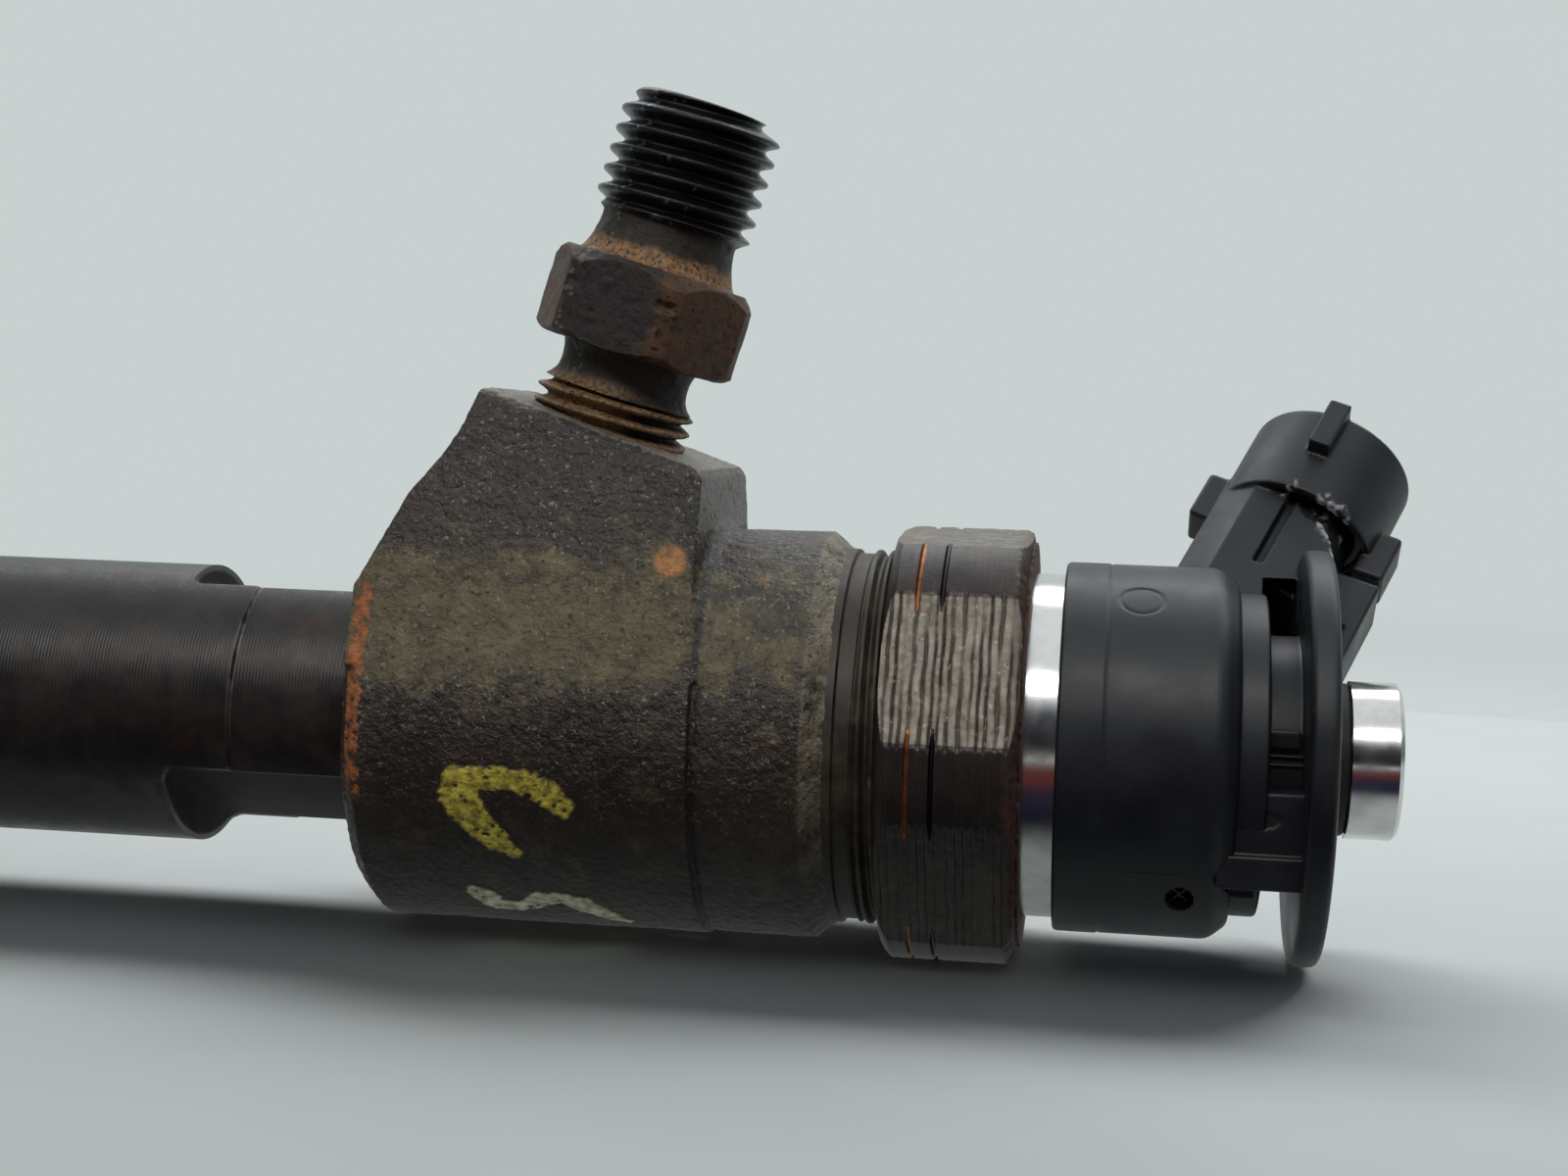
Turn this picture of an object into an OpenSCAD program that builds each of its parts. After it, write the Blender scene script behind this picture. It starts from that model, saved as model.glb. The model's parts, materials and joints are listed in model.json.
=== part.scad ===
// Common-rail solenoid fuel injector.
// X runs along the injector from the nozzle to the return nipple, +Z is the side of
// the high-pressure inlet, and the origin is the sealing seat under the copper washer.

/* [Nozzle] */
// Length of the nozzle tip below the sealing seat
nozzle_reach = 19; // [17:0.5:21]
// Radius of the nozzle shank
shank_r = 3.5; // [3.4:0.05:3.55]
// Radius of the needle guide bore
guide_r = 2.0; // [1.9:0.05:2.1]
// Radial running clearance of needle and control piston
running_gap = 0.02; // [0.01:0.005:0.04]
// Number of spray holes
spray_holes = 6; // [5:1:8]
// Outer radius of the nozzle retaining nut
retaining_nut_r = 8.5; // [8.3:0.1:8.8]

/* [Body] */
// Radius of the long stem
stem_r = 10.5; // [10.3:0.1:10.7]
// Distance from the axis to each clamp flat
clamp_flat = 7.0; // [6.9:0.1:7.4]
// Turn of the clamp flats about the injector axis
clamp_turn = -22; // [-30:1:-10]
// Radius of the forged head
head_r = 15; // [14.8:0.1:15.2]
// Half width of the inlet boss
boss_half = 7; // [6.8:0.1:7.4]

/* [Inlet] */
// Place of the inlet axis on the injector axis
inlet_x = 101.4; // [101:0.1:102]
// Lean of the inlet towards the return end
inlet_lean = 16; // [15:0.5:17]
// Across-flats width of the inlet hexagon
inlet_hex = 14; // [13:1:14]
// Turn of the inlet hexagon about the inlet axis
inlet_hex_turn = -4.4; // [-30:0.1:30]
// Major radius of the inlet threads
inlet_thread_r = 5.93; // [5.85:0.01:5.97]

/* [Solenoid nut] */
// Outer radius of the solenoid nut
nut_r = 15.95; // [15.8:0.05:16.1]
// Across-flats width of the solenoid nut
nut_flats = 30; // [29.6:0.1:30.4]
// Turn of the nut about the injector axis
nut_turn = -25.5; // [-55:0.5:5]

/* [Cap] */
// Outer radius of the cap
cap_r = 13.3; // [13.2:0.1:13.5]
// Radius of the return-line disc
disc_r = 14.8; // [14.2:0.1:15]
// Turn of the plug socket about the injector axis
socket_turn = -41.9; // [-60:1:-20]
// Lean of the plug socket towards the return end
socket_lean = 22.9; // [20:0.5:26]
// Outer radius of the plug socket
socket_r = 6.45; // [6.3:0.05:6.6]
// Outer radius of the return nipple
nipple_r = 5.6; // [5.5:0.05:5.65]
// Radius of the return nipple's bore
return_bore_r = 3.5; // [3:0.1:3.6]

/* [Hidden] */
$fn = 96;
thin_gap = 0.05;
touch_gap = 0.01;

// Stations along the injector axis
washer_top = 1.5;
nozzle_shoulder = 5;
nozzle_top = 21;
nut_thread_top = 35.5;
neck_end = 40;
stem_start = 44;
slot_start = 77.3;
slot_end = 92.2;
head_start = 92.3;
boss_end = 117;
head_end = 126.2;
thread_start = 128;
body_end = 134;
nut_start = 129.8;
nut_end = 139.6;
lip_start = 137.8;
sleeve_end = 150;
cap_start = 141.8;
cap_end = 154;
disc_start = 158.4;
disc_end = 160.4;
nipple_end = 165.5;

// Inside diameters of the body
spring_room_r = 3.2;
spring_room_end = 48.5;
piston_room_r = 2.35;
ring_room_r = 4.0;
ring_room_start = 95.5;
stem_room_r = 5.1;
stem_room_start = 97;
valve_room_r = 8.5;
valve_room_start = 108;
armature_room_r = 10.5;
armature_room_start = 121;
feed_r = 1;
feed_offset = 5.6;

// Control valve
valve_top = 112.5;
ball_r = 0.675;
ball_x = 112.3;
pin_bore_r = 2.2;
plate_start = 122.5;
plate_end = 124.5;
core_start = 124.6;
core_end = 138;

// Plug socket, measured along its own axis from the injector axis
socket_x = 150;
socket_back = 18.5;
socket_floor = 20.5;
socket_mouth = 30;
terminal_end = 26;
terminal_side = 1.8;
lead_offset = 7.3;

// Turn of the small vent hole in the cap's side
vent_turn = 143.6;

// Return-line nipple
nipple_core_r = nipple_r - 0.3;
seal_groove_start = 160.5;
seal_groove_end = 162;

// ---- helpers ----

// Solid turned about the injector axis from points [radius, x]
module turned(points) {
  rotate([0, 90, 0]) rotate_extrude() polygon(points);
}

// Round bar along the injector axis
module bar(x0, x1, r) {
  translate([x0, 0, 0]) rotate([0, 90, 0]) cylinder(h = x1 - x0, r = r);
}

// Ring along the injector axis
module tube(x0, x1, outer, inner) {
  turned([[inner, x0], [outer, x0], [outer, x1], [inner, x1]]);
}

// Ring of round section about the injector axis
module o_ring(x, mean_r, wire_r) {
  translate([x, 0, 0]) rotate([0, 90, 0]) rotate_extrude() translate([mean_r, 0]) circle(r = wire_r, $fn = 32);
}

// Points of one ring of a coil spring
function coil_ring(a, x, mean_r, wire_r, sides) = [
  for (k = [0:sides - 1])
    let (r = mean_r + wire_r * cos(360 * k / sides))
    [x + wire_r * sin(360 * k / sides), r * cos(a), r * sin(a)]
];

// Coil spring about the injector axis, with its wire between x0 and x1
module coil_spring(x0, x1, mean_r, wire_r, turns) {
  sides = 8;
  steps = turns * 18;
  low = x0 + wire_r;
  high = x1 - wire_r;
  rings = [
    for (i = [0:steps])
      coil_ring(360 * turns * i / steps, low + (high - low) * i / steps, mean_r, wire_r, sides)
  ];
  points = [for (ring = rings) each ring];
  walls = [
    for (i = [0:steps - 1])
      for (k = [0:sides - 1])
        [
          i * sides + k,
          (i + 1) * sides + k,
          (i + 1) * sides + (k + 1) % sides,
          i * sides + (k + 1) % sides
        ]
  ];
  first_end = [for (k = [0:sides - 1]) k];
  last_end = [for (k = [sides - 1:-1:0]) steps * sides + k];
  polyhedron(points = points, faces = concat(walls, [first_end], [last_end]));
}

// Frame of the inlet: its Z runs out along the inlet axis
module inlet_frame() {
  translate([inlet_x, 0, 0]) rotate([0, inlet_lean, 0]) children();
}

// Frame of the plug socket: its Z runs out along the socket axis
module socket_frame() {
  translate([socket_x, 0, 0]) rotate([socket_turn, 0, 0]) rotate([0, socket_lean, 0]) children();
}

// ---- nozzle ----

sac_x = 2 - nozzle_reach;
seat_slope = 0.625;
sac_r = 0.5;
annulus_r = 1.75;
seat_end = sac_x + (annulus_r - sac_r) / seat_slope;

module nozzle_body() {
  color("dimgray") difference() {
    turned([
      [0, -nozzle_reach], [0.7, -nozzle_reach + 0.25], [1.2, -nozzle_reach + 0.8],
      [1.5, -nozzle_reach + 1.6], [shank_r, -nozzle_reach + 4.6], [shank_r, -0.3], [shank_r - 0.25, 0],
      [shank_r - 0.25, nozzle_shoulder], [6.6, nozzle_shoulder], [7.15, nozzle_shoulder + 0.6],
      [7.15, nozzle_top - 0.4], [6.75, nozzle_top], [0, nozzle_top]
    ]);
    turned([
      [0, sac_x - 0.6], [0.35, sac_x - 0.45], [sac_r, sac_x - 0.1], [sac_r, sac_x],
      [annulus_r, seat_end], [annulus_r, 3.2], [3.1, 4.4], [3.1, 6.8],
      [guide_r, 8.2], [guide_r, nozzle_top + 1], [0, nozzle_top + 1]
    ]);
    for (i = [0:spray_holes - 1])
      rotate([360 * i / spray_holes, 0, 0])
        translate([sac_x - 0.2, 0, 0.2]) rotate([0, -16, 0]) cylinder(h = 3, r = 0.12);
    rotate([clamp_turn, 0, 0]) nozzle_feed();
    dowel_places() bar(19, nozzle_top + 1, 0.92);
  }
}

// Slanting fuel hole from the top face to the pressure chamber
module nozzle_feed() {
  run = nozzle_top - 5.6;
  fall = feed_offset - 2.6;
  translate([5.6, feed_offset - fall, 0])
    rotate([0, 0, atan2(fall, run)]) bar(0, norm([run, fall]) + 1, 0.7);
}

module dowel_places() {
  for (turn = [110, 250])
    rotate([clamp_turn + turn, 0, 0]) translate([0, 5.2, 0]) children();
}

module nozzle_needle() {
  color("silver") turned([
    [0, sac_x - 0.4], [0.2, sac_x - 0.4], [1.2, sac_x + (1.2 - sac_r + 0.03) / seat_slope],
    [1.2, 8.2], [guide_r - running_gap, 9], [guide_r - running_gap, 20.4],
    [1.7, 20.7], [1.4, 20.7], [1.4, 24], [0, 24]
  ]);
}

module nozzle_dowel_pins() {
  color("silver") dowel_places() bar(19.1, 22.9, 0.9);
}

module nozzle_retaining_nut() {
  wall = retaining_nut_r;
  color("slategray") difference() {
    intersection() {
      turned([
        [shank_r + 0.15, washer_top], [7, washer_top], [7.5, washer_top + 0.5], [7.5, 8],
        [wall, 10.5], [wall, 25], [9.3, 26], [9.3, nut_thread_top - 1],
        [8.6, nut_thread_top], [shank_r + 0.15, nut_thread_top]
      ]);
      union() {
        bar(0, 25.5, 12);
        translate([25, 0, 0]) rotate([0, 90, 0]) cylinder(h = 12, r = 8.5 / cos(30), $fn = 6);
      }
    }
    turned([
      [0, nozzle_shoulder], [7.2, nozzle_shoulder], [7.2, 22.5], [7.55, 23], [7.55, 40], [0, 40]
    ]);
  }
}

module sealing_washer() {
  color("peru") turned([
    [3.6, 0.1], [3.7, 0], [7.4, 0], [7.5, 0.1], [7.5, 1.4], [7.4, 1.5], [3.7, 1.5], [3.6, 1.4]
  ]);
}

module pressure_pin() {
  color("silver") turned([
    [0, 24], [2.6, 24], [2.9, 24.3], [2.9, 26], [1.5, 26], [1.5, 27.7], [1.2, 28], [0, 28]
  ]);
}

module nozzle_spring() {
  color("lightsteelblue") coil_spring(26, 47, 2.35, 0.5, 10);
}

module spring_shim() {
  color("silver") tube(47, spring_room_end, 3.1, 1.75);
}

// ---- body ----

// Turned outside of the body
module body_turning() {
  turned([
    [0, nozzle_top], [6.9, nozzle_top], [7.15, nozzle_top + 0.25], [7.15, 22.8], [7.5, 23.2],
    [7.5, 34], [7, 34.5], [7, 36], [9, 36.5], [9, neck_end], [stem_r, stem_start],
    [stem_r, slot_start + 7.4], [stem_r - 0.3, slot_start + 7.5], [stem_r - 0.3, head_start],
    [head_r - 1, head_start], [head_r, head_start + 1.2], [head_r, boss_end],
    [head_r - 0.15, boss_end + 0.1], [head_r - 0.15, head_end - 1.3], [head_r - 1.3, head_end],
    [head_r - 1.4, thread_start - 0.6], [head_r - 1.9, thread_start - 0.5],
    [head_r - 1.9, thread_start], [head_r - 1.35, thread_start + 0.4],
    [head_r - 1.35, body_end - 0.8], [head_r - 2, body_end], [0, body_end]
  ]);
}

// Arc of points about a centre
function arc(centre, r, a0, a1, steps) = [
  for (i = [0:steps]) let (a = a0 + (a1 - a0) * i / steps) centre + r * [cos(a), sin(a)]
];

// Outline of the inlet boss seen from the side
boss_top = 22.4;
boss_left_reach = 8;
boss_right_reach = 9.4;
boss_left = [inlet_x + boss_top * sin(inlet_lean) - boss_left_reach * cos(inlet_lean),
             boss_top * cos(inlet_lean) + boss_left_reach * sin(inlet_lean)];
boss_right = [inlet_x + boss_top * sin(inlet_lean) + boss_right_reach * cos(inlet_lean),
              boss_top * cos(inlet_lean) - boss_right_reach * sin(inlet_lean)];

module boss_outline() {
  sweep_r = 16.65;
  sweep_end = -14.6;
  sweep = arc(boss_left - sweep_r * [cos(sweep_end), sin(sweep_end)], sweep_r, -44, sweep_end, 14);
  foot = arc([boss_right[0] + 2.2, 17], 2.2, 180, 270, 8);
  bevel = [[head_start + 0.6, 4], [head_start + 0.6, 10.4]];
  polygon(concat(bevel, sweep, [boss_right], foot, [[boss_right[0] + 3, 4]]));
}

// Cross-section of the boss: flat top with sides that run tangent into the head
module boss_section() {
  top = boss_left[1] + 1;
  reach = norm([boss_half, top]);
  lean = atan2(boss_half, top) + acos((head_r - 0.02) / reach);
  touch = (head_r - 0.02) * [sin(lean), cos(lean)];
  polygon([[-touch[0], touch[1]], [-boss_half, top], [boss_half, top], [touch[0], touch[1]], [6, 2], [-6, 2]]);
}

module inlet_boss() {
  intersection() {
    translate([0, 20, 0]) rotate([90, 0, 0]) linear_extrude(height = 40) boss_outline();
    translate([90, 0, 0]) rotate([90, 0, 90]) linear_extrude(height = 40) boss_section();
  }
}

// Room for the clamp fork's tine on one side of the stem
module clamp_slot() {
  round_r = 1;
  difference() {
    translate([slot_start, -20, clamp_flat]) cube([slot_end + 0.1 - slot_start, 40, 12]);
    difference() {
      translate([slot_start - 1, -21, clamp_flat - 1]) cube([1 + round_r, 42, 1 + round_r]);
      translate([slot_start + round_r, 22, clamp_flat + round_r])
        rotate([90, 0, 0]) cylinder(h = 44, r = round_r);
    }
  }
}

// Stepped room on the injector axis for spring, piston, valve and armature
module body_bores() {
  turned([
    [0, nozzle_top - 1], [spring_room_r, nozzle_top - 1], [spring_room_r, spring_room_end],
    [piston_room_r, spring_room_end], [piston_room_r, ring_room_start],
    [ring_room_r, ring_room_start], [ring_room_r, stem_room_start],
    [stem_room_r, stem_room_start], [stem_room_r, valve_room_start],
    [valve_room_r, valve_room_start], [valve_room_r, armature_room_start],
    [armature_room_r, armature_room_start], [armature_room_r, body_end + 1], [0, body_end + 1]
  ]);
}

module injector_body() {
  color([0.27, 0.24, 0.2]) difference() {
    union() {
      body_turning();
      inlet_boss();
    }
    for (side = [0, 180]) rotate([clamp_turn + side, 0, 0]) clamp_slot();
    body_bores();
    rotate([clamp_turn, 0, 0]) translate([0, feed_offset, 0]) bar(nozzle_top - 1, 100, feed_r);
    dowel_places() bar(nozzle_top - 1, 23, 0.92);
    inlet_frame() {
      cylinder(h = 12, r = 1.25);
      translate([0, 0, 10.8]) cylinder(h = 2, r = 4.2);
      translate([0, 0, 12]) cylinder(h = 20, r = inlet_thread_r + thin_gap);
    }
  }
}

module control_piston() {
  color("silver") turned([
    [0, 28 + touch_gap], [1.2, 28 + touch_gap], [1.5, 28.3], [1.5, 51], [2.05, 52], [2.05, 97],
    [2.15 - running_gap, 98], [2.15 - running_gap, 108.5], [1.7, 109], [0, 109]
  ]);
}

// ---- inlet ----

module inlet_connector() {
  color([0.35, 0.24, 0.17]) inlet_frame() difference() {
    union() {
      rotate_extrude() polygon([
        [0, 12], [4.4, 12], [4.9, 12.8], [4.9, 14], [inlet_thread_r, 15], [inlet_thread_r, 24.6],
        [5.2, 25.2], [4.85, 25.8], [4.8, 27.6], [5.6, 28.9], [5.6, 34.4], [5.3, 36],
        [5.05, 37.4], [5.05, 38.1], [inlet_thread_r, 38.7], [inlet_thread_r, 46.9],
        [inlet_thread_r - 0.8, 47.7], [0, 47.7]
      ]);
      intersection() {
        translate([0, 0, 28.4]) rotate([0, 0, inlet_hex_turn])
          cylinder(h = 6.6, r = inlet_hex / 2 / cos(30), $fn = 6);
        rotate_extrude() polygon([
          [0, 28.4], [7.1, 28.4], [8.2, 29.3], [8.2, 34.1], [7.1, 35], [0, 35]
        ]);
      }
    }
    rotate_extrude() polygon([
      [0, 11], [1.7, 11], [1.7, 40], [2.3, 40.6], [2.3, 45.8], [3.5, 47.9], [0, 47.9]
    ]);
  }
}

module inlet_filter() {
  color("silver") inlet_frame() difference() {
    translate([0, 0, 16]) cylinder(h = 20, r = 1.66);
    for (i = [0:3]) rotate([0, 0, 90 * i]) translate([1.3, -0.2, 17 + 0.5 * (i % 2)]) cube([1, 0.4, 19]);
  }
}

module inlet_seal_ring() {
  color("gray") inlet_frame() rotate_extrude() polygon([
    [1.4, 10.8], [4.1, 10.8], [4.1, 12], [1.4, 12]
  ]);
}

// ---- control valve ----

module valve_seal_ring() {
  color("ivory") tube(ring_room_start, stem_room_start, 3.95, 2.45);
}

module valve_body() {
  color("lightslategray") difference() {
    turned([
      [0, stem_room_start], [4.1, stem_room_start], [4.4, stem_room_start + 0.3],
      [4.4, valve_room_start], [8, valve_room_start], [8.35, valve_room_start + 0.3],
      [8.35, valve_top], [0, valve_top]
    ]);
    turned([
      [0, 96], [2.15, 96], [2.15, 110], [0.2, 110.6], [0.2, 111.5], [1.2, valve_top + 0.1],
      [0, valve_top + 0.1]
    ]);
    translate([106.4, 0, -4.6]) rotate([0, 55, 0]) cylinder(h = 3.4, r = 0.2);
  }
}

module valve_clamping_nut() {
  color("gray") difference() {
    bar(valve_top, 119.5, 8.45);
    bar(valve_top - 1, 115, 5.5);
    bar(114, 120, 4.3);
    translate([116.5, 0, 0]) rotate([0, 90, 0]) cylinder(h = 4, r = 6.9, $fn = 6);
  }
}

module valve_ball() {
  color("white") translate([ball_x, 0, 0]) sphere(r = ball_r);
}

module ball_holder() {
  color("silver") difference() {
    bar(valve_top + 0.1, 114.6, pin_bore_r - 0.05);
    bar(valve_top - 1, ball_x + ball_r + touch_gap, ball_r + 0.03);
  }
}

module armature_guide() {
  color("gray") difference() {
    turned([
      [pin_bore_r, valve_top], [5.4, valve_top], [5.4, 115], [3, 115], [3, 120],
      [pin_bore_r, 120]
    ]);
    for (side = [-1, 1]) translate([113.2, 0, 0]) rotate([90, 0, 0]) translate([0, 0, side * 4 - 2])
      cylinder(h = 4, r = 0.5);
  }
}

module armature_pin() {
  color("silver") turned([
    [0, 114.6], [pin_bore_r - 0.03, 114.6], [pin_bore_r - 0.03, 121.5], [1.9, 121.9],
    [1.9, plate_end + 0.1], [1.5, plate_end + 0.1], [1.5, plate_end + 0.9], [1.9, plate_end + 0.9],
    [1.9, 126.4], [1.1, 126.4], [1.1, 127], [0.8, 127.3], [0, 127.3]
  ]);
}

module armature_spring() {
  color("lightsteelblue") coil_spring(115, plate_start, 3.5, 0.3, 5);
}

module armature_plate() {
  color("dimgray") difference() {
    tube(plate_start, plate_end, 8, 1.93);
    for (i = [0:3])
      rotate([90 * i + 45, 0, 0]) translate([0, 0, 5.6]) bar(plate_start - 1, plate_end + 1, 0.9);
  }
}

module armature_clip() {
  color("silver") difference() {
    tube(plate_end + 0.1 + touch_gap, plate_end + 0.9 - touch_gap, 2.9, 1.53);
    translate([plate_end - 1, -1.2, 0]) cube([3, 2.4, 4]);
  }
}

module stroke_ring() {
  color("silver") tube(armature_room_start, 124.4, 10.4, 8.7);
}

module air_gap_shim() {
  color("gainsboro") tube(124.4, core_start, 10.4, 8.7);
}

// ---- solenoid ----

// Places of the two coil leads about the axis
module lead_places() {
  rotate([socket_turn, 0, 0]) for (side = [-1, 1])
    translate([0, side * terminal_side, lead_offset]) children();
}

module magnet_core() {
  color("dimgray") difference() {
    tube(core_start, core_end, 10.4, 3.25);
    tube(core_start - 1, 136, 8.4, 5.2);
    lead_places() bar(135, core_end + 1, 0.65);
  }
}

module coil_bobbin() {
  color("saddlebrown") union() {
    tube(125.6, 135.8, 5.9, 5.3);
    tube(125.6, 126.4, 8.3, 5.3);
    tube(135, 135.8, 8.3, 5.3);
  }
}

module coil_winding() {
  color("chocolate") tube(126.45, 134.95, 8.1, 5.95);
}

module coil_leads() {
  color("chocolate") lead_places() bar(135.8, 150.2, 0.4);
}

module lead_carrier() {
  color([0.2, 0.2, 0.2]) difference() {
    tube(141, 147.9, 10.3, 6.2);
    lead_places() bar(140, 149, 0.45);
  }
}

module magnet_sleeve() {
  color("gainsboro") difference() {
    turned([
      [armature_room_r, body_end], [12.9, body_end], [13.3, body_end + 0.4], [13.3, lip_start - 0.1],
      [12.4, lip_start - 0.1], [12.4, sleeve_end - 0.6], [11.8, sleeve_end], [6.3, sleeve_end],
      [6.3, sleeve_end - 2], [armature_room_r, sleeve_end - 2]
    ]);
    tube(body_end - 1, body_end + 1.2, 12.55, 11.05);
    lead_places() bar(sleeve_end - 3, sleeve_end + 1, 1);
  }
}

// Turned outside of the solenoid nut with its two grooves
module nut_turning() {
  groove = nut_r - 0.35;
  turned([
    [0, nut_start], [nut_r - 1.2, nut_start], [nut_r - 0.4, nut_start + 0.35], [nut_r, nut_start + 1],
    [nut_r, 131.85], [groove, 131.95], [groove, 132.15], [nut_r, 132.25],
    [nut_r, 133.55], [groove, 133.65], [groove, 133.85], [nut_r, 133.95],
    [nut_r, nut_end - 1.2], [nut_r - 0.4, nut_end - 0.45], [nut_r - 1.2, nut_end], [0, nut_end]
  ]);
}

module solenoid_nut() {
  color("lightslategray") difference() {
    intersection() {
      nut_turning();
      translate([nut_start - 1, 0, 0]) rotate([nut_turn, 0, 0]) rotate([0, 90, 0])
        cylinder(h = 20, r = nut_flats / 2 / cos(30), $fn = 6);
    }
    bar(nut_start - 1, lip_start, head_r - 1.3);
    bar(lip_start - 1, nut_end + 1, 12.5);
  }
}

module body_o_ring() {
  color([0.12, 0.12, 0.12]) o_ring(body_end + 0.6, 11.8, 0.58);
}

module flange_o_ring() {
  color([0.12, 0.12, 0.12]) o_ring(139.7, 9.85, 0.62);
}

module valve_spring() {
  color("lightsteelblue") coil_spring(126.4, 136, 1.5, 0.3, 8);
}

module valve_spring_shim() {
  color("silver") tube(136, 136.8, 2, 1.1);
}

module return_nipple() {
  color("silver") difference() {
    turned([
      [1.5, 130], [3.15, 130], [3.15, core_end], [10.4, core_end], [10.4, 138.95], [9.2, 138.95],
      [9.2, 140.45], [10.4, 140.45], [10.4, 141], [6, 141], [6, 149.8], [nipple_core_r, 150.1],
      [nipple_core_r, seal_groove_start], [4.6, seal_groove_start], [4.6, seal_groove_end],
      [nipple_r, seal_groove_end], [nipple_r, nipple_end - 0.3], [nipple_r - 0.3, nipple_end],
      [return_bore_r + 0.4, nipple_end], [return_bore_r, nipple_end - 0.5], [return_bore_r, 155.5],
      [1.5, 154.5]
    ]);
    bar(129, 136.8, 2.05);
    lead_places() bar(core_end - 1, 142, 0.65);
  }
}

module return_seal_ring() {
  color([0.08, 0.08, 0.08]) turned([
    [4.65, seal_groove_start + 0.05], [5.22, seal_groove_start + 0.05], [5.42, seal_groove_start + 0.25],
    [5.42, seal_groove_end - 0.25], [5.22, seal_groove_end - 0.05], [4.65, seal_groove_end - 0.05]
  ]);
}

// ---- cap ----

// Round part of the cap with the return-line disc
module cap_turning() {
  turned([
    [nipple_core_r + thin_gap, 150.2], [12.45, 150.2], [12.45, cap_start], [cap_r - 0.3, cap_start],
    [cap_r, cap_start + 0.4], [cap_r, 152.6], [12, cap_end], [11.5, cap_end + 0.05], [11.5, 156],
    [8.6, 156.1], [8.6, disc_start], [disc_r - 0.8, disc_start], [disc_r, disc_start + 0.7],
    [disc_r, disc_end - 0.7], [disc_r - 0.8, disc_end], [nipple_core_r + thin_gap, disc_end]
  ]);
}

// Arm between cap and plug socket
module socket_arm() {
  intersection() {
    socket_frame() translate([-5.8, -5, 5]) cube([11.6, 9.4, 16]);
    translate([cap_start + 1, -40, -40]) cube([60, 80, 80]);
  }
}

// Lower blocks that join ring and disc
module disc_blocks() {
  translate([154.2, -10.6, -8]) cube([disc_start + 0.5 - 154.2, 5, 4.4]);
  translate([152.8, -9.6, -10.6]) cube([disc_start + 0.5 - 152.8, 9, 2.8]);
  translate([153, -6, -11.6]) cube([2.4, 5, 1.4]);
}

// Locking lugs and key rib on the outside of the socket
module socket_lugs() {
  for (side = [-1, 1]) scale([side, 1, 1])
    translate([5.4, -1.6, 20.4]) cube([2.4, 3.2, 3.6]);
  translate([-0.9, -7.6, 25.4]) cube([1.8, 2.6, 4.6]);
}

module terminal(side, grow) {
  half = 0.4 + grow;
  wide = 0.6 + grow;
  knee = lead_offset / cos(socket_lean);
  rotate([socket_turn, 0, 0]) translate([socket_x + 0.25, side * terminal_side - wide, lead_offset - half])
    cube([lead_offset * tan(socket_lean) + 0.1, 2 * wide, 2 * half]);
  socket_frame() translate([-half, side * terminal_side - wide, knee])
    cube([2 * half, 2 * wide, terminal_end + grow - knee]);
}

module electrical_cap() {
  color([0.1, 0.1, 0.11]) difference() {
    union() {
      cap_turning();
      difference() {
        socket_arm();
        bar(cap_start - 1, 150.3, 12.9);
        bar(148, 170, 6.5);
      }
      disc_blocks();
      socket_frame() {
        translate([0, 0, socket_back]) cylinder(h = socket_mouth - socket_back, r = socket_r);
        socket_lugs();
      }
    }
    socket_frame() {
      translate([0, 0, socket_floor]) cylinder(h = 20, r = 5);
      translate([-0.4, -7, 12.5]) cube([1.4, 2.6, 5]);
    }
    for (side = [-1, 1]) terminal(side, thin_gap);
    bar(149, disc_end + 1, nipple_core_r + thin_gap);
    translate([149.4, 0, 0]) rotate([vent_turn, 0, 0]) translate([0, 0, 12.7]) cylinder(h = 2, r = 0.7);
  }
}

module terminal_pins() {
  color("goldenrod") for (side = [-1, 1]) terminal(side, 0);
}

nozzle_body();
nozzle_needle();
nozzle_retaining_nut();
sealing_washer();
nozzle_dowel_pins();
pressure_pin();
nozzle_spring();
spring_shim();
injector_body();
control_piston();
inlet_connector();
inlet_filter();
inlet_seal_ring();
valve_seal_ring();
valve_body();
valve_clamping_nut();
valve_ball();
ball_holder();
armature_guide();
armature_pin();
armature_spring();
armature_plate();
armature_clip();
stroke_ring();
air_gap_shim();
magnet_core();
coil_bobbin();
coil_winding();
coil_leads();
lead_carrier();
magnet_sleeve();
solenoid_nut();
body_o_ring();
flange_o_ring();
valve_spring();
valve_spring_shim();
return_nipple();
return_seal_ring();
electrical_cap();
terminal_pins();
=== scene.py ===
"""Looks of a common-rail fuel injector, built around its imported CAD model.

Lengths inside the shape functions are millimetres in the CAD frame: X runs from the nozzle to the
return nipple, Z points to the inlet's side. put() turns them into metres. Angles about an axis are
measured from its basis's e1 towards e2; on the main axis that is from +Y towards +Z.
"""

import json
import math

import bmesh
import bpy
import numpy as np
from mathutils import Matrix, Vector


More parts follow.
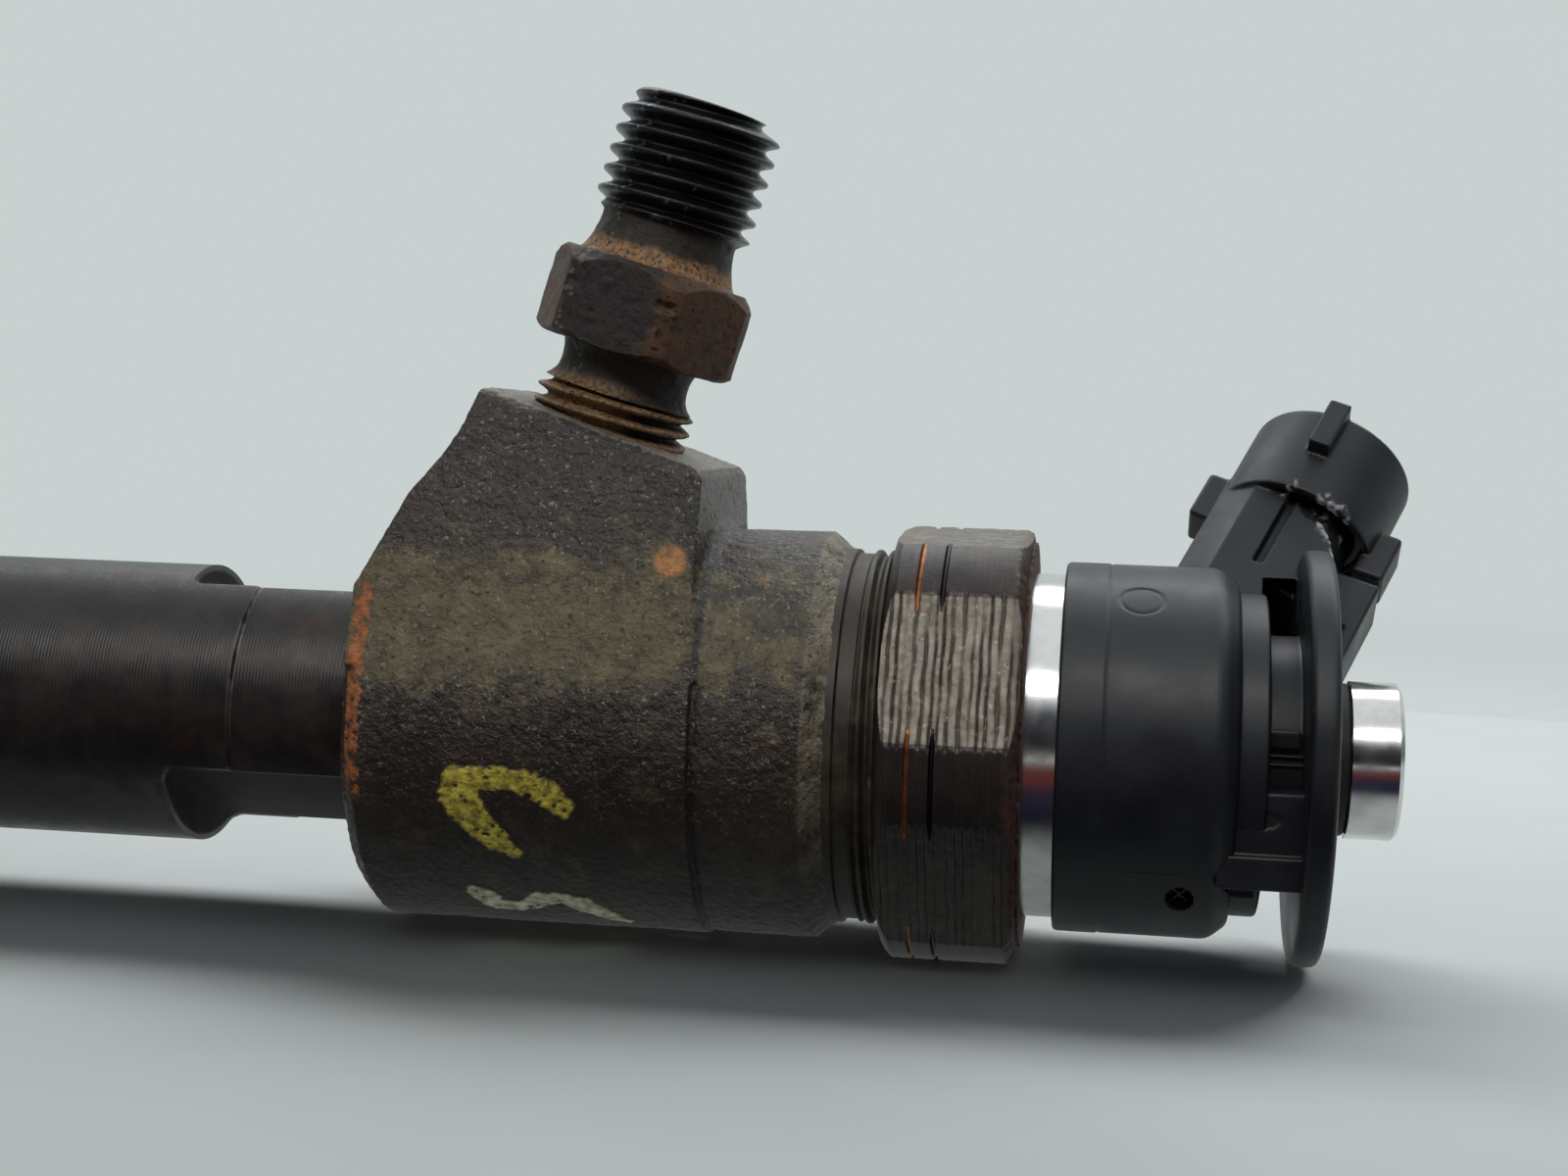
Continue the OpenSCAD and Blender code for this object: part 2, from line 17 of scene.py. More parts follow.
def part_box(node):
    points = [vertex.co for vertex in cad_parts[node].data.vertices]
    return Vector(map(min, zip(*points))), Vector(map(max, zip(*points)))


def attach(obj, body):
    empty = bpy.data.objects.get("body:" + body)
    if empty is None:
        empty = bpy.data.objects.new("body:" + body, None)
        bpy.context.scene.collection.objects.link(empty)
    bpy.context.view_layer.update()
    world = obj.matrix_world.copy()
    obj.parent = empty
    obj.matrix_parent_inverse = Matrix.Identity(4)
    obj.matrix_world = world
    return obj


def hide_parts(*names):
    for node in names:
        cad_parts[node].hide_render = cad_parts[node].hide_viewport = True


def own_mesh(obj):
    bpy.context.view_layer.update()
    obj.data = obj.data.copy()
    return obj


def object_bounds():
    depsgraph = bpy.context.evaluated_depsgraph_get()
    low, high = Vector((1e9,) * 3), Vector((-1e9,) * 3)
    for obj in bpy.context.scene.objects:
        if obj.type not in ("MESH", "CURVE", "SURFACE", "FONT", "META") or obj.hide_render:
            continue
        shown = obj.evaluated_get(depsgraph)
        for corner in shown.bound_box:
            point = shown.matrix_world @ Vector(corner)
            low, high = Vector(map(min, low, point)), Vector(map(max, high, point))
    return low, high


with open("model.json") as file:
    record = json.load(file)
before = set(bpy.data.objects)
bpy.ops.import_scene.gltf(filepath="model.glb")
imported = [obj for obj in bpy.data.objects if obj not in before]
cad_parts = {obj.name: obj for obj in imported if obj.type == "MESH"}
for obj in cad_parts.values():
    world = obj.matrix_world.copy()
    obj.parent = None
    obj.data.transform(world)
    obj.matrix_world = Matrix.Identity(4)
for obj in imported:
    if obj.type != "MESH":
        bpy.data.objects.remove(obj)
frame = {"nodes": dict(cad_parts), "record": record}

CAD_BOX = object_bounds()
MM = 0.001
ROOT = "injector"


# ---------------------------------------------------------------- frame in millimetres


def span(node):
    """Lowest and highest corner of a CAD node in mm."""
    low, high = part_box(node)
    return np.array(low) / MM, np.array(high) / MM


MOUNTS = {m["name"]: m for m in frame["record"]["mounts"]}


def mount(name):
    """A mount's place in mm and its axis."""
    found = MOUNTS[name]
    return np.array(found["pos_m"]) / MM, np.array(found["axis"], float)


BODY_START, BODY_END = (v[0] for v in span("injector_body"))
NUT_START, NUT_END = (v[0] for v in span("solenoid_nut"))
NUT_R = span("solenoid_nut")[1][1]
STEM_R = MOUNTS["stem"]["dims"]["r_mm"]
SLOT_START = mount("clamp_seat_upper")[0][0]
FLAT_AT, FLAT_NORMAL = mount("clamp_flat_upper")
FLAT_D = float(np.dot(FLAT_AT, FLAT_NORMAL))
FLAT_TURN = math.atan2(FLAT_NORMAL[2], FLAT_NORMAL[1])
HEAD_START = SLOT_START + 15
HEAD_R = 15.0
STEP_X = HEAD_START + 24.7
HEAD_END = HEAD_START + 33.9
SLEEVE_END = span("magnet_sleeve")[1][0]
CAP_START = span("electrical_cap")[0][0]
NIPPLE_R = MOUNTS["return_nipple_outside"]["dims"]["r_mm"]

INLET_MID, INLET_AXIS = mount("inlet_thread")
INLET_ORIGIN = INLET_MID - INLET_AXIS * (INLET_MID[2] / INLET_AXIS[2])
SOCKET_MOUTH, SOCKET_AXIS = mount("plug_socket")


def show(name, data):
    """A new object in the scene."""
    thing = bpy.data.objects.new(name, data)
    bpy.context.scene.collection.objects.link(thing)
    return thing


# ---------------------------------------------------------------- camera, floor and light

LENS_MM = 53.0
CAMERA_PLACE = (NUT_START + 16.2, -167.5, 22.0)
CAMERA_RIGHT = (0.988, 0.1485, 0.0318)
CAMERA_UP = (-0.041, 0.062, 0.997)


def make_camera():
    data = bpy.data.cameras.new("camera")
    data.lens = LENS_MM
    data.sensor_width = 36
    data.clip_start = 0.005
    data.clip_end = 20
    camera = show("camera", data)
    right = Vector(CAMERA_RIGHT).normalized()
    back = right.cross(Vector(CAMERA_UP)).normalized()
    up = back.cross(right).normalized()
    turn = Matrix((right, up, back)).transposed().to_4x4()
    camera.matrix_world = Matrix.Translation(Vector(CAMERA_PLACE) * MM) @ turn
    bpy.context.scene.camera = camera


def area_light(name, place, aim, size, power, colour=(1, 1, 1)):
    data = bpy.data.lights.new(name, "AREA")
    data.shape = "RECTANGLE"
    data.size, data.size_y = size[0] * MM, size[1] * MM
    data.energy = power
    data.color = colour
    light = show(name, data)
    light.location = Vector(place) * MM
    look = Vector(aim) - Vector(place)
    light.rotation_euler = look.to_track_quat("-Z", "Y").to_euler()
    return light


PALE = (0.575, 0.635, 0.625)


def make_world():
    """Even pale backdrop; what the object reflects is bright above and behind, dark in front."""
    world = bpy.data.worlds.new("studio")
    world.use_nodes = True
    w = Nodes(world.node_tree)
    direction = w.node("TexCoord", "Generated")

    def across(axis, *stops):
        """Colours from the sky's -1 to its 1 on one axis."""
        reach = w.node("SeparateXYZ", axis, {0: direction})
        return w.node("MapRange", "Result", {"Value": reach, "From Min": -1}).ramp(*stops, easing="EASE")

    height = across(
        "Z", (0.0, (0.30, 0.33, 0.35)), (0.36, (0.012, 0.016, 0.045)), (0.46, (0.085, 0.020, 0.024)),
        (0.56, (0.014, 0.014, 0.020)), (0.72, (0.04, 0.045, 0.055)), (0.82, (0.55, 0.59, 0.62)),
        (1.0, (0.85, 0.90, 0.92)),
    )
    behind = across("Y", (0.50, (0.0, 0.0, 0.0)), (0.72, (0.62, 0.68, 0.69)))
    reflected = w.mix(1.0, height, behind, "LIGHTEN")
    seen, mirrored = (w.node("LightPath", f"Is {kind} Ray") for kind in ("Camera", "Glossy"))
    sky = w.tree.nodes["Background"].inputs
    w.link(w.mix(seen, reflected, PALE), sky["Color"])
    fill_light = 0.16
    w.link(w.node("MapRange", "Result", {"Value": seen | mirrored, "To Min": fill_light}), sky["Strength"])
    bpy.context.scene.world = world


def only_for(light, floor, state):
    """Makes a light shine on the floor alone (INCLUDE) or on everything else (EXCLUDE)."""
    floors = bpy.data.collections.new(light.name + "_floor")
    floors.objects.link(floor)
    light.light_linking.receiver_collection = floors
    floors.collection_objects[0].light_linking.link_state = state


def make_lights(floor):
    """The front light only fills in the object, so that its own soft shadow falls forward on the floor."""
    middle = (NUT_START - 20, 0, 0)
    behind = (middle[0] + 40, 220, 330)
    key = area_light("key", (middle[0] - 20, -290, 310), middle, (520, 70), 1.0, (1, 0.98, 0.95))
    only_for(key, floor, "EXCLUDE")
    area_light("back", behind, middle, (560, 140), 0.85, (0.98, 0.99, 1))
    wash = area_light("wash", behind, middle, (560, 140), 0.55, (0.98, 0.99, 1))
    only_for(wash, floor, "INCLUDE")
    area_light("side", (middle[0] + 330, -120, 60), middle, (120, 260), 0.04)


def make_floor():
    """Plain pale table; its reflection and bounce alone differ from its look: dark in front, lit below."""
    size = 3.0
    z = CAD_BOX[0][2]
    mesh = bpy.data.meshes.new("floor")
    corners = [(-size, -size, z), (size, -size, z), (size, size, z), (-size, size, z)]
    mesh.from_pydata(corners, [], [(0, 1, 2, 3)])
    floor = show("floor", mesh)
    p = Paint("floor")
    y = p.axis("Y")
    pale = p.noise(0.06, 3).ramp((0.3, (0.90, 0.96, 0.95)), (0.7, (0.94, 0.99, 0.98)))
    # Seen only by reflection and bounce rays: a painted dark reflection of the room in front, tinted navy and
    # red, and a painted glow beneath the object
    unseen = 1.0 - p.node("LightPath", "Is Camera Ray")
    front = p.mix(y.fade(-40, -60), (0.04, 0.04, 0.08), (0.22, 0.05, 0.05))
    p.surface = p.mix(y.fade(-8, -26) * unseen, pale, front)
    away = p.length(p.about((NUT_START, 0, z / MM)))
    beneath = abs(y).fade(24, 12)
    glowing = away.fade(70, 420) | beneath * unseen * 0.35
    shaders = {1: Value(p, p.bsdf.outputs[0]), 2: p.node("Emission", 0, {"Color": PALE})}
    p.link(p.node("MixShader", 0, {0: glowing, **shaders}), p.tree.nodes["Material Output"].inputs["Surface"])
    mesh.materials.append(p.done(0.6, gloss=0.0))
    return floor


# ---------------------------------------------------------------- node building


class Value:
    """A number in a node tree, which takes Python's operators."""

    def __init__(self, nodes, socket):
        self.nodes, self.socket = nodes, socket

    def __add__(self, other):
        return self.nodes.maths("ADD", self, other)

    def __sub__(self, other):
        return self.nodes.maths("SUBTRACT", self, other)

    def __rsub__(self, other):
        return self.nodes.maths("SUBTRACT", other, self)

    def __mul__(self, other):
        return self.nodes.maths("MULTIPLY", self, other)

    def __abs__(self):
        return self.nodes.maths("ABSOLUTE", self)

    def __or__(self, other):
        """The larger of the two."""
        return self.nodes.maths("MAXIMUM", self, other)

    def times_plus_half(self, factor):
        """The factor times this number plus 0.5, which is where a new node's third input stands."""
        return self.nodes.maths("MULTIPLY_ADD", self, factor)

    def fade(self, start, end):
        """Smooth step from 0 at start to 1 at end."""
        low, high = (0.0, 1.0) if start < end else (1.0, 0.0)
        ends = {"From Min": min(start, end), "From Max": max(start, end), "To Min": low, "To Max": high}
        inputs = {"Value": self, **ends}
        return self.nodes.node("MapRange", "Result", inputs, interpolation_type="SMOOTHSTEP")

    def ramp(self, *stops, easing="LINEAR"):
        """The colour at this number between stops of (place, colour)."""
        result = self.nodes.node("ValToRGB", "Color", {0: self})
        ramp = result.socket.node.color_ramp
        ramp.interpolation = easing
        while len(ramp.elements) < len(stops):
            ramp.elements.new(0.5)
        for element, (place, colour) in zip(ramp.elements, stops):
            element.position, element.color = place, (*colour, 1)
        return result


class Nodes:
    """Builds a node tree."""

    def __init__(self, tree):
        self.tree = tree

    def link(self, source, socket):
        """Feeds a socket from a Value, a number or a row of numbers."""
        if isinstance(source, Value):
            self.tree.links.new(source.socket, socket)
        elif np.ndim(source) == 0:
            socket.default_value = source
        else:
            numbers = [float(v) for v in source]
            socket.default_value = numbers + [1.0] * (len(socket.default_value) - len(numbers))

    def node(self, kind, output=0, inputs=None, **settings):
        """The output of a new node."""
        node = self.tree.nodes.new("ShaderNode" + kind)
        for key, value in settings.items():
            setattr(node, key, value)
        for key, source in (inputs or {}).items():
            self.link(source, node.inputs[key])
        return Value(self, node.outputs[output])

    def maths(self, operation, a, b=0.0, clamp=False):
        return self.node("Math", 0, {0: a, 1: b}, operation=operation, use_clamp=clamp)

    def mix(self, amount, a, b, kind="MIX"):
        """Colour mix."""
        return self.node("Mix", 2, {0: amount, 6: a, 7: b}, data_type="RGBA", blend_type=kind)

    def blend(self, amount, a, b):
        """Number mix."""
        return self.node("Mix", 0, {0: amount, 2: a, 3: b})


class Paint(Nodes):
    """A procedural material on object coordinates in mm, painted in layers."""

    def __init__(self, name):
        self.mat = bpy.data.materials.new(name)
        self.mat.use_nodes = True
        super().__init__(self.mat.node_tree)
        self.bsdf = self.tree.nodes["Principled BSDF"]
        coords = self.node("TexCoord", "Object")
        self.place = self.node("VectorMath", 0, {0: coords, "Scale": 1 / MM}, operation="SCALE")
        self.surface = self.relief = None

    def length(self, place):
        return self.node("VectorMath", "Value", {0: place}, operation="LENGTH")

    def noise(self, per_mm, detail=4, rough=0.55, place=None):
        """Noise with this many features per mm."""
        inputs = {"Vector": place or self.place, "Scale": per_mm, "Detail": detail, "Roughness": rough}
        return self.node("TexNoise", "Fac", inputs)

    def stretched(self, *factors):
        """Coordinates scaled by a factor on each axis."""
        return self.node("VectorMath", 0, {0: self.place, 1: factors}, operation="MULTIPLY")

    def about(self, origin):
        return self.node("VectorMath", 0, {0: self.place, 1: origin}, operation="SUBTRACT")

    def along(self, origin, direction):
        """Distance in mm along a direction from an origin."""
        inputs = {0: self.about(origin), 1: direction}
        return self.node("VectorMath", "Value", inputs, operation="DOT_PRODUCT")

    def near(self, origin, reach):
        """1 at a point, falling to 0 at the reach."""
        return self.length(self.about(origin)).fade(reach, 0)

    def across_inlet(self, *factors):
        """Coordinates scaled across and along the inlet's axis."""
        parts = []
        for direction, factor in zip((INLET.e2, INLET.axis), factors):
            reach = self.along(INLET_ORIGIN, direction) * factor
            parts.append(self.node("VectorMath", 0, {0: direction, "Scale": reach}, operation="SCALE"))
        return self.node("VectorMath", 0, dict(enumerate(parts)), operation="ADD")

    def axis(self, letter):
        return self.node("SeparateXYZ", letter, {0: self.place})

    def edges(self, start, end):
        """From 0 on flat places to 1 on edges that stick out; a flat place has a pointiness of 0.5."""
        return self.node("NewGeometry", "Pointiness").fade(start, end)

    def mask(self, name):
        return self.node("Attribute", "Fac", attribute_name=name)

    def lay(self, colour, amount):
        """Lays a colour over the surface so far."""
        self.surface = self.mix(amount, self.surface, colour)

    def bump(self, height, depth):
        """Adds relief of this depth in mm for a height of 0 to 1."""
        inputs = {"Distance": depth * MM, "Height": height}
        if self.relief:
            inputs["Normal"] = self.relief
        self.relief = self.node("Bump", "Normal", inputs)

    def done(self, rough, metal=0.0, gloss=0.5):
        """The finished material; gloss is the mirror share of a non-metal surface."""
        finish = {
            "Base Color": self.surface, "Roughness": rough, "Metallic": metal, "Specular IOR Level": gloss,
        }
        if self.relief:
            finish["Normal"] = self.relief
        for name, source in finish.items():
            self.link(source, self.bsdf.inputs[name])
        return self.mat


# ---------------------------------------------------------------- mesh building


class Basis:
    """An axis with an origin, and the two directions across it."""

    def __init__(self, origin, axis, side):
        self.origin = np.array(origin, float)
        self.axis = np.array(axis, float) / np.linalg.norm(axis)
        side = np.array(side, float)
        side = side - self.axis * np.dot(side, self.axis)
        self.e1 = side / np.linalg.norm(side)
        self.e2 = np.cross(self.axis, self.e1)

    def place(self, along, a, b):
        along, a, b = (np.asarray(v, float)[..., None] for v in (along, a, b))
        return self.origin + along * self.axis + a * self.e1 + b * self.e2

    def matrix(self):
        """Takes local x, y, z to e1, e2 and the axis."""
        rows = np.stack([self.e1, self.e2, self.axis, self.origin], 1).tolist()
        return Matrix([*rows, [0, 0, 0, 1]])


MAIN = Basis((0, 0, 0), (1, 0, 0), (0, 1, 0))
INLET = Basis(INLET_ORIGIN, INLET_AXIS, (0, 1, 0))
SOCKET = Basis(SOCKET_MOUTH, SOCKET_AXIS, (1, 0, 0))


def new_mesh(name, points, faces):
    """A mesh from numpy arrays of points in mm and face corners."""
    mesh = bpy.data.meshes.new(name)
    mesh.vertices.add(len(points))
    mesh.vertices.foreach_set("co", np.asarray(points, np.float32).ravel())
    faces = np.asarray(faces, np.int32)
    count, corners = faces.shape
    mesh.loops.add(faces.size)
    mesh.loops.foreach_set("vertex_index", faces.ravel())
    mesh.polygons.add(count)
    mesh.polygons.foreach_set("loop_start", np.arange(count, dtype=np.int32) * corners)
    mesh.update(calc_edges=True)
    return mesh


def clean(mesh):
    """Merges doubled points and turns every face outwards."""
    distance = 1e-4
    bm = bmesh.new()
    bm.from_mesh(mesh)
    bmesh.ops.remove_doubles(bm, verts=bm.verts, dist=distance)
    bmesh.ops.dissolve_degenerate(bm, dist=distance, edges=bm.edges)
    bmesh.ops.recalc_face_normals(bm, faces=bm.faces)
    bm.to_mesh(mesh)
    bm.free()


def rounded(points, radius, steps=3):
    """Closed outline of (x, r) with its corners rounded; a point's third value overrides the radius."""
    corners = [np.array(p[:2], float) for p in points]
    result = []
    for i, corner in enumerate(corners):
        wanted = points[i][2] if len(points[i]) > 2 else radius
        a, b = corners[i - 1] - corner, corners[(i + 1) % len(corners)] - corner
        la, lb = np.linalg.norm(a), np.linalg.norm(b)
        cut = min(wanted, 0.45 * la, 0.45 * lb)
        if cut < 1e-3 or corner[1] < 1e-6:
            result.append(corner)
            continue
        p, q = corner + a / la * cut, corner + b / lb * cut
        for k in range(steps + 1):
            t = k / steps
            result.append((1 - t) ** 2 * p + 2 * t * (1 - t) * corner + t * t * q)
    return result


def dense(points, step):
    """Closed outline with no stretch longer than the step."""
    result = []
    for i, start in enumerate(points):
        a, b = np.array(start, float), np.array(points[(i + 1) % len(points)], float)
        parts = max(1, int(math.ceil(np.linalg.norm(b - a) / step)))
        result.extend(a + (b - a) * k / parts for k in range(parts))
    return result


def turned(name, outline, turns=192, shape=None, basis=MAIN, masks=None):
    """Mesh turned about a basis axis from a closed outline of (x, r).

    shape(theta, x, r) may move the radius; masks(theta, x, r) gives named values for each point.
    """
    outline = np.array([p[:2] for p in outline], float)
    theta = np.linspace(0, 2 * np.pi, turns, endpoint=False)[:, None]
    x = np.broadcast_to(outline[:, 0], (turns, len(outline))).copy()
    r = np.broadcast_to(outline[:, 1], (turns, len(outline))).copy()
    if shape is not None:
        r = shape(theta, x, r)
    points = basis.place(x, r * np.cos(theta), r * np.sin(theta)).reshape(-1, 3)
    width = len(outline)
    ring, step = np.meshgrid(np.arange(turns), np.arange(width), indexing="ij")
    after, beside = (ring + 1) % turns, (step + 1) % width
    corners = [ring * width + step, ring * width + beside, after * width + beside, after * width + step]
    mesh = new_mesh(name, points, np.stack(corners, -1).reshape(-1, 4))
    if masks is not None:
        for key, values in masks(theta, x, r).items():
            add_mask(mesh, key, np.broadcast_to(values, r.shape).ravel())
    clean(mesh)
    return mesh


def add_mask(mesh, name, values):
    layer = mesh.attributes.get(name) or mesh.attributes.new(name, "FLOAT", "POINT")
    layer.data.foreach_set("value", np.asarray(values, np.float32))


def gathered(items, key):
    """The x, y, z of every item as an array."""
    values = np.empty(len(items) * 3, np.float32)
    items.foreach_get(key, values)
    return values.reshape(-1, 3).astype(float)


def coordinates(mesh):
    return gathered(mesh.vertices, "co")


def normals(mesh):
    return gathered(mesh.vertex_normals, "vector")


def push(mesh, amount):
    """Moves every point along its normal by an amount in mm."""
    points = coordinates(mesh) + normals(mesh) * np.asarray(amount)[:, None]
    mesh.vertices.foreach_set("co", points.astype(np.float32).ravel())
    mesh.update()


def block(low, high, basis=None, bevel=0.0):
    """Box between two corners, in the basis's e1, e2, axis when one is given."""
    bm = bmesh.new()
    bmesh.ops.create_cube(bm, size=1)
    for v in bm.verts:
        v.co = Vector([low[k] + (v.co[k] + 0.5) * (high[k] - low[k]) for k in range(3)])
    if bevel:
        bmesh.ops.bevel(bm, geom=bm.edges[:], offset=bevel, segments=2, affect="EDGES", profile=0.5)
    mesh = bpy.data.meshes.new("block")
    bm.to_mesh(mesh)
    bm.free()
    if basis is not None:
        mesh.transform(basis.matrix())
    return mesh


def rod(x0, x1, r):
    return turned("rod", [(x0, 0), (x0, r), (x1, r), (x1, 0)], 96)


def prism(outline, start, end, basis):
    """Prism of a closed (e1, e2) outline between two stations on a basis axis."""
    bm = bmesh.new()
    rings = [
        [bm.verts.new(Vector(basis.place(station, a, b))) for a, b in outline]
        for station in (start, end)
    ]
    bm.faces.new(rings[0])
    bm.faces.new(list(reversed(rings[1])))
    for i in range(len(outline)):
        j = (i + 1) % len(outline)
        bm.faces.new([rings[0][i], rings[1][i], rings[1][j], rings[0][j]])
    bmesh.ops.recalc_face_normals(bm, faces=bm.faces)
    bmesh.ops.triangulate(bm, faces=[f for f in bm.faces if len(f.verts) > 4])
    mesh = bpy.data.meshes.new("prism")
    bm.to_mesh(mesh)
    bm.free()
    return mesh


def evaluated(mesh, kind, **settings):
    """The mesh after one modifier; a mesh among the settings becomes a helper object."""
    thing = show("working", mesh)
    modifier = thing.modifiers.new(kind, kind)
    helpers = []
    for key, value in settings.items():
        if isinstance(value, bpy.types.Mesh):
            value = show("helper", value)
            helpers.append(value)
        setattr(modifier, key, value)
    bpy.context.view_layer.update()
    graph = bpy.context.evaluated_depsgraph_get()
    result = bpy.data.meshes.new_from_object(thing.evaluated_get(graph))
    for each in (thing, *helpers):
        bpy.data.objects.remove(each)
    return result


def cut(mesh, *tools):
    """The mesh with each tool taken away."""
    for tool in tools:
        mesh = evaluated(mesh, "BOOLEAN", operation="DIFFERENCE", solver="EXACT", object=tool)
    return mesh


def fused(name, meshes, voxel, smooth=4):
    """Overlapping solids melted into one skin with small rounded edges."""
    bm = bmesh.new()
    for mesh in meshes:
        bm.from_mesh(mesh)
    joined = bpy.data.meshes.new(name)
    bm.to_mesh(joined)
    bm.free()
    skin = evaluated(joined, "REMESH", mode="VOXEL", voxel_size=voxel)
    skin = evaluated(skin, "SMOOTH", factor=0.5, iterations=smooth)
    skin.name = name
    return skin


def put(name, mesh, material, stands_for=(), sharp=None, body=ROOT):
    """Places a finished mesh in the scene as a piece on a body."""
    mesh.transform(Matrix.Scale(MM, 4))
    mesh.materials.clear()
    mesh.materials.append(material)
    mesh.polygons.foreach_set("use_smooth", [True] * len(mesh.polygons))
    if sharp:
        mesh.set_sharp_from_angle(angle=math.radians(sharp))
    piece = show(name, mesh)
    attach(piece, body)
    if stands_for:
        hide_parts(*stands_for)
    return piece


# ---------------------------------------------------------------- shape helpers


FAR = 99.0  # a radius beyond every surface


def step_up(a, b, x):
    """Smooth step from 0 at a to 1 at b."""
    t = np.clip((x - a) / (b - a), 0, 1)
    return t * t * (3 - 2 * t)


def shifted(x, *outline):
    """An outline's points moved along the axis by x."""
    return [(x + p[0], *p[1:]) for p in outline]


def triangle_wave(x):
    """Triangle wave from 0 to 1 with a period of 1."""
    return np.abs(((x + 0.5) % 1.0) - 0.5) * 2


def grain(points, size, seed):
    """Smooth random field from 0 to 1 over points in mm, with features of the given size."""
    rng = np.random.default_rng(seed)
    table = rng.random((64, 64, 64))
    p = np.asarray(points) / size + 31.7
    cell = np.floor(p).astype(int)
    t = p - cell
    t = t * t * (3 - 2 * t)
    total = 0
    for corner in range(8):
        bits = np.array([corner & 1, corner >> 1 & 1, corner >> 2 & 1])
        index = (cell + bits) % 64
        weight = np.prod(np.where(bits, t, 1 - t), axis=-1)
        total = total + weight * table[index[..., 0], index[..., 1], index[..., 2]]
    return total


def thread(theta, x, r, start, end, pitch, depth, runout=0.8):
    """Radius with a right-hand helical thread cut into it between two stations."""
    groove = step_up(0.1, 0.95, triangle_wave(x / pitch - theta / (2 * np.pi)))
    inside = step_up(start, start + runout, x) * (1 - step_up(end - runout, end, x))
    return r - depth * groove * inside


def flat_gap(theta, across, count, turn):
    """Radius of a many-sided bar at an angle; the first flat's normal is at the angle turn."""
    part = 2 * np.pi / count
    off = (theta - turn + part / 2) % part - part / 2
    return across / 2 / np.cos(off)


# ---------------------------------------------------------------- materials


def forged_steel():
    """Dark forged skin with an olive patina, lighter at mid height as painted sheen, rust at the left rim and
    two paint strokes.
    """
    p = Paint("forged_steel")
    x, z = p.axis("X"), p.axis("Z")
    broad, mottled, fine = p.noise(0.10, 3), p.noise(0.5, 5, 0.65), p.noise(2.2, 4, 0.6)
    p.surface = broad.ramp((0.35, (0.014, 0.010, 0.007)), (0.65, (0.032, 0.022, 0.015)))
    p.lay((0.064, 0.045, 0.028), mottled.fade(0.45, 0.8))
    # Painted sheen: a lighter olive band between about 4 and 13 mm up, where the light falls; partly the
    # skin's own olive patina
    painted_sheen_band = z.fade(1, 7) * z.fade(17, 9)
    weaker_right = p.blend(x.fade(STEP_X - 4, STEP_X + 3), 1.0, 0.55)
    olive_patina_and_painted_sheen = (painted_sheen_band * weaker_right * 0.62 + mottled).fade(0.60, 1.08) * 0.85
    p.lay(mottled.ramp((0.3, (0.066, 0.052, 0.028)), (0.7, (0.20, 0.165, 0.085))), olive_patina_and_painted_sheen)
    rim = x.fade(STEP_X + 7.5, STEP_X + 8.0) * z.fade(-13, 2) * mottled.fade(0.3, 0.55)
    p.lay(mottled.ramp((0.3, (0.10, 0.080, 0.050)), (0.65, (0.25, 0.22, 0.155))), rim)
    p.lay((0.008, 0.007, 0.007), abs(x - (STEP_X + 0.2)).fade(0.4, 0.12) * 0.8)
    # Painted glints: small light specks on the upper part of the skin, standing in for highlights on the
    # pebbles
    painted_glint = p.noise(3.0, 2, 0.5).fade(0.61, 0.71) * z.fade(-9, 4)
    p.lay((0.26, 0.245, 0.21), painted_glint * 0.7)
    pits = p.noise(2.4, 2, 0.5, p.about((31, 17, 5))).fade(0.60, 0.70)
    p.lay((0.006, 0.005, 0.005), pits * 0.8)
    rust = p.noise(1.1, 5, 0.7)
    ragged = (x - rust.times_plus_half(1.5)).fade(HEAD_START + 0.5, HEAD_START + 0.2)
    left_rust = ragged * x.fade(HEAD_START + 0.35, HEAD_START + 0.6) * z.fade(-4.6, -3.6) * z.fade(11.0, 10.2)
    left_rust = left_rust * rust.fade(0.36, 0.48)
    spot = p.near((HEAD_START + 22.6, -11.3, 12.8), 1.9).fade(0.15, 0.6) * rust.fade(0.2, 0.45)
    speck = p.near((HEAD_START + 28.8, -9, 11.8), 1.5) * rust.fade(0.4, 0.6) * 0.6
    p.lay(rust.ramp((0.38, (0.10, 0.026, 0.010)), (0.62, (0.48, 0.17, 0.050))), left_rust)
    p.lay(rust.ramp((0.3, (0.14, 0.055, 0.020)), (0.6, (0.55, 0.27, 0.10))), spot)
    p.lay((0.30, 0.20, 0.10), speck)
    bare = z.fade(15, 17) | x.fade(HEAD_START + 1.6, HEAD_START + 0.8) * z.fade(-6, -9)
    worn = p.edges(0.54, 0.62) * bare * mottled.fade(0.3, 0.5) | p.mask("pad") * fine.fade(0.34, 0.44)
    p.lay(fine.ramp((0.35, (0.13, 0.11, 0.085)), (0.7, (0.30, 0.275, 0.23))), worn)
    scrape = p.noise(1.3, 4, 0.7, p.stretched(0.35, 1, 1)).fade(0.60, 0.68) * z.fade(-12.2, -13)
    p.lay((0.20, 0.20, 0.19), scrape * x.fade(HEAD_START + 18, HEAD_START + 21) * 0.8)
    yellow, cream = p.mask("yellow"), p.mask("cream")
    p.lay(p.noise(1.6, 4).ramp((0.35, (0.22, 0.175, 0.025)), (0.62, (0.70, 0.60, 0.085))), yellow)
    p.lay(p.noise(1.3, 4).ramp((0.35, (0.30, 0.305, 0.19)), (0.66, (0.90, 0.90, 0.64))), cream)
    p.bump(fine, 0.20)
    p.bump(p.noise(5, 3), 0.05)
    coated = yellow | cream | left_rust | spot | olive_patina_and_painted_sheen
    rough = p.blend(coated, p.blend(fine.fade(0.3, 0.7), 0.40, 0.52), 0.6)
    return p.done(rough, p.blend(coated, 0.15, 0.0), 0.52)


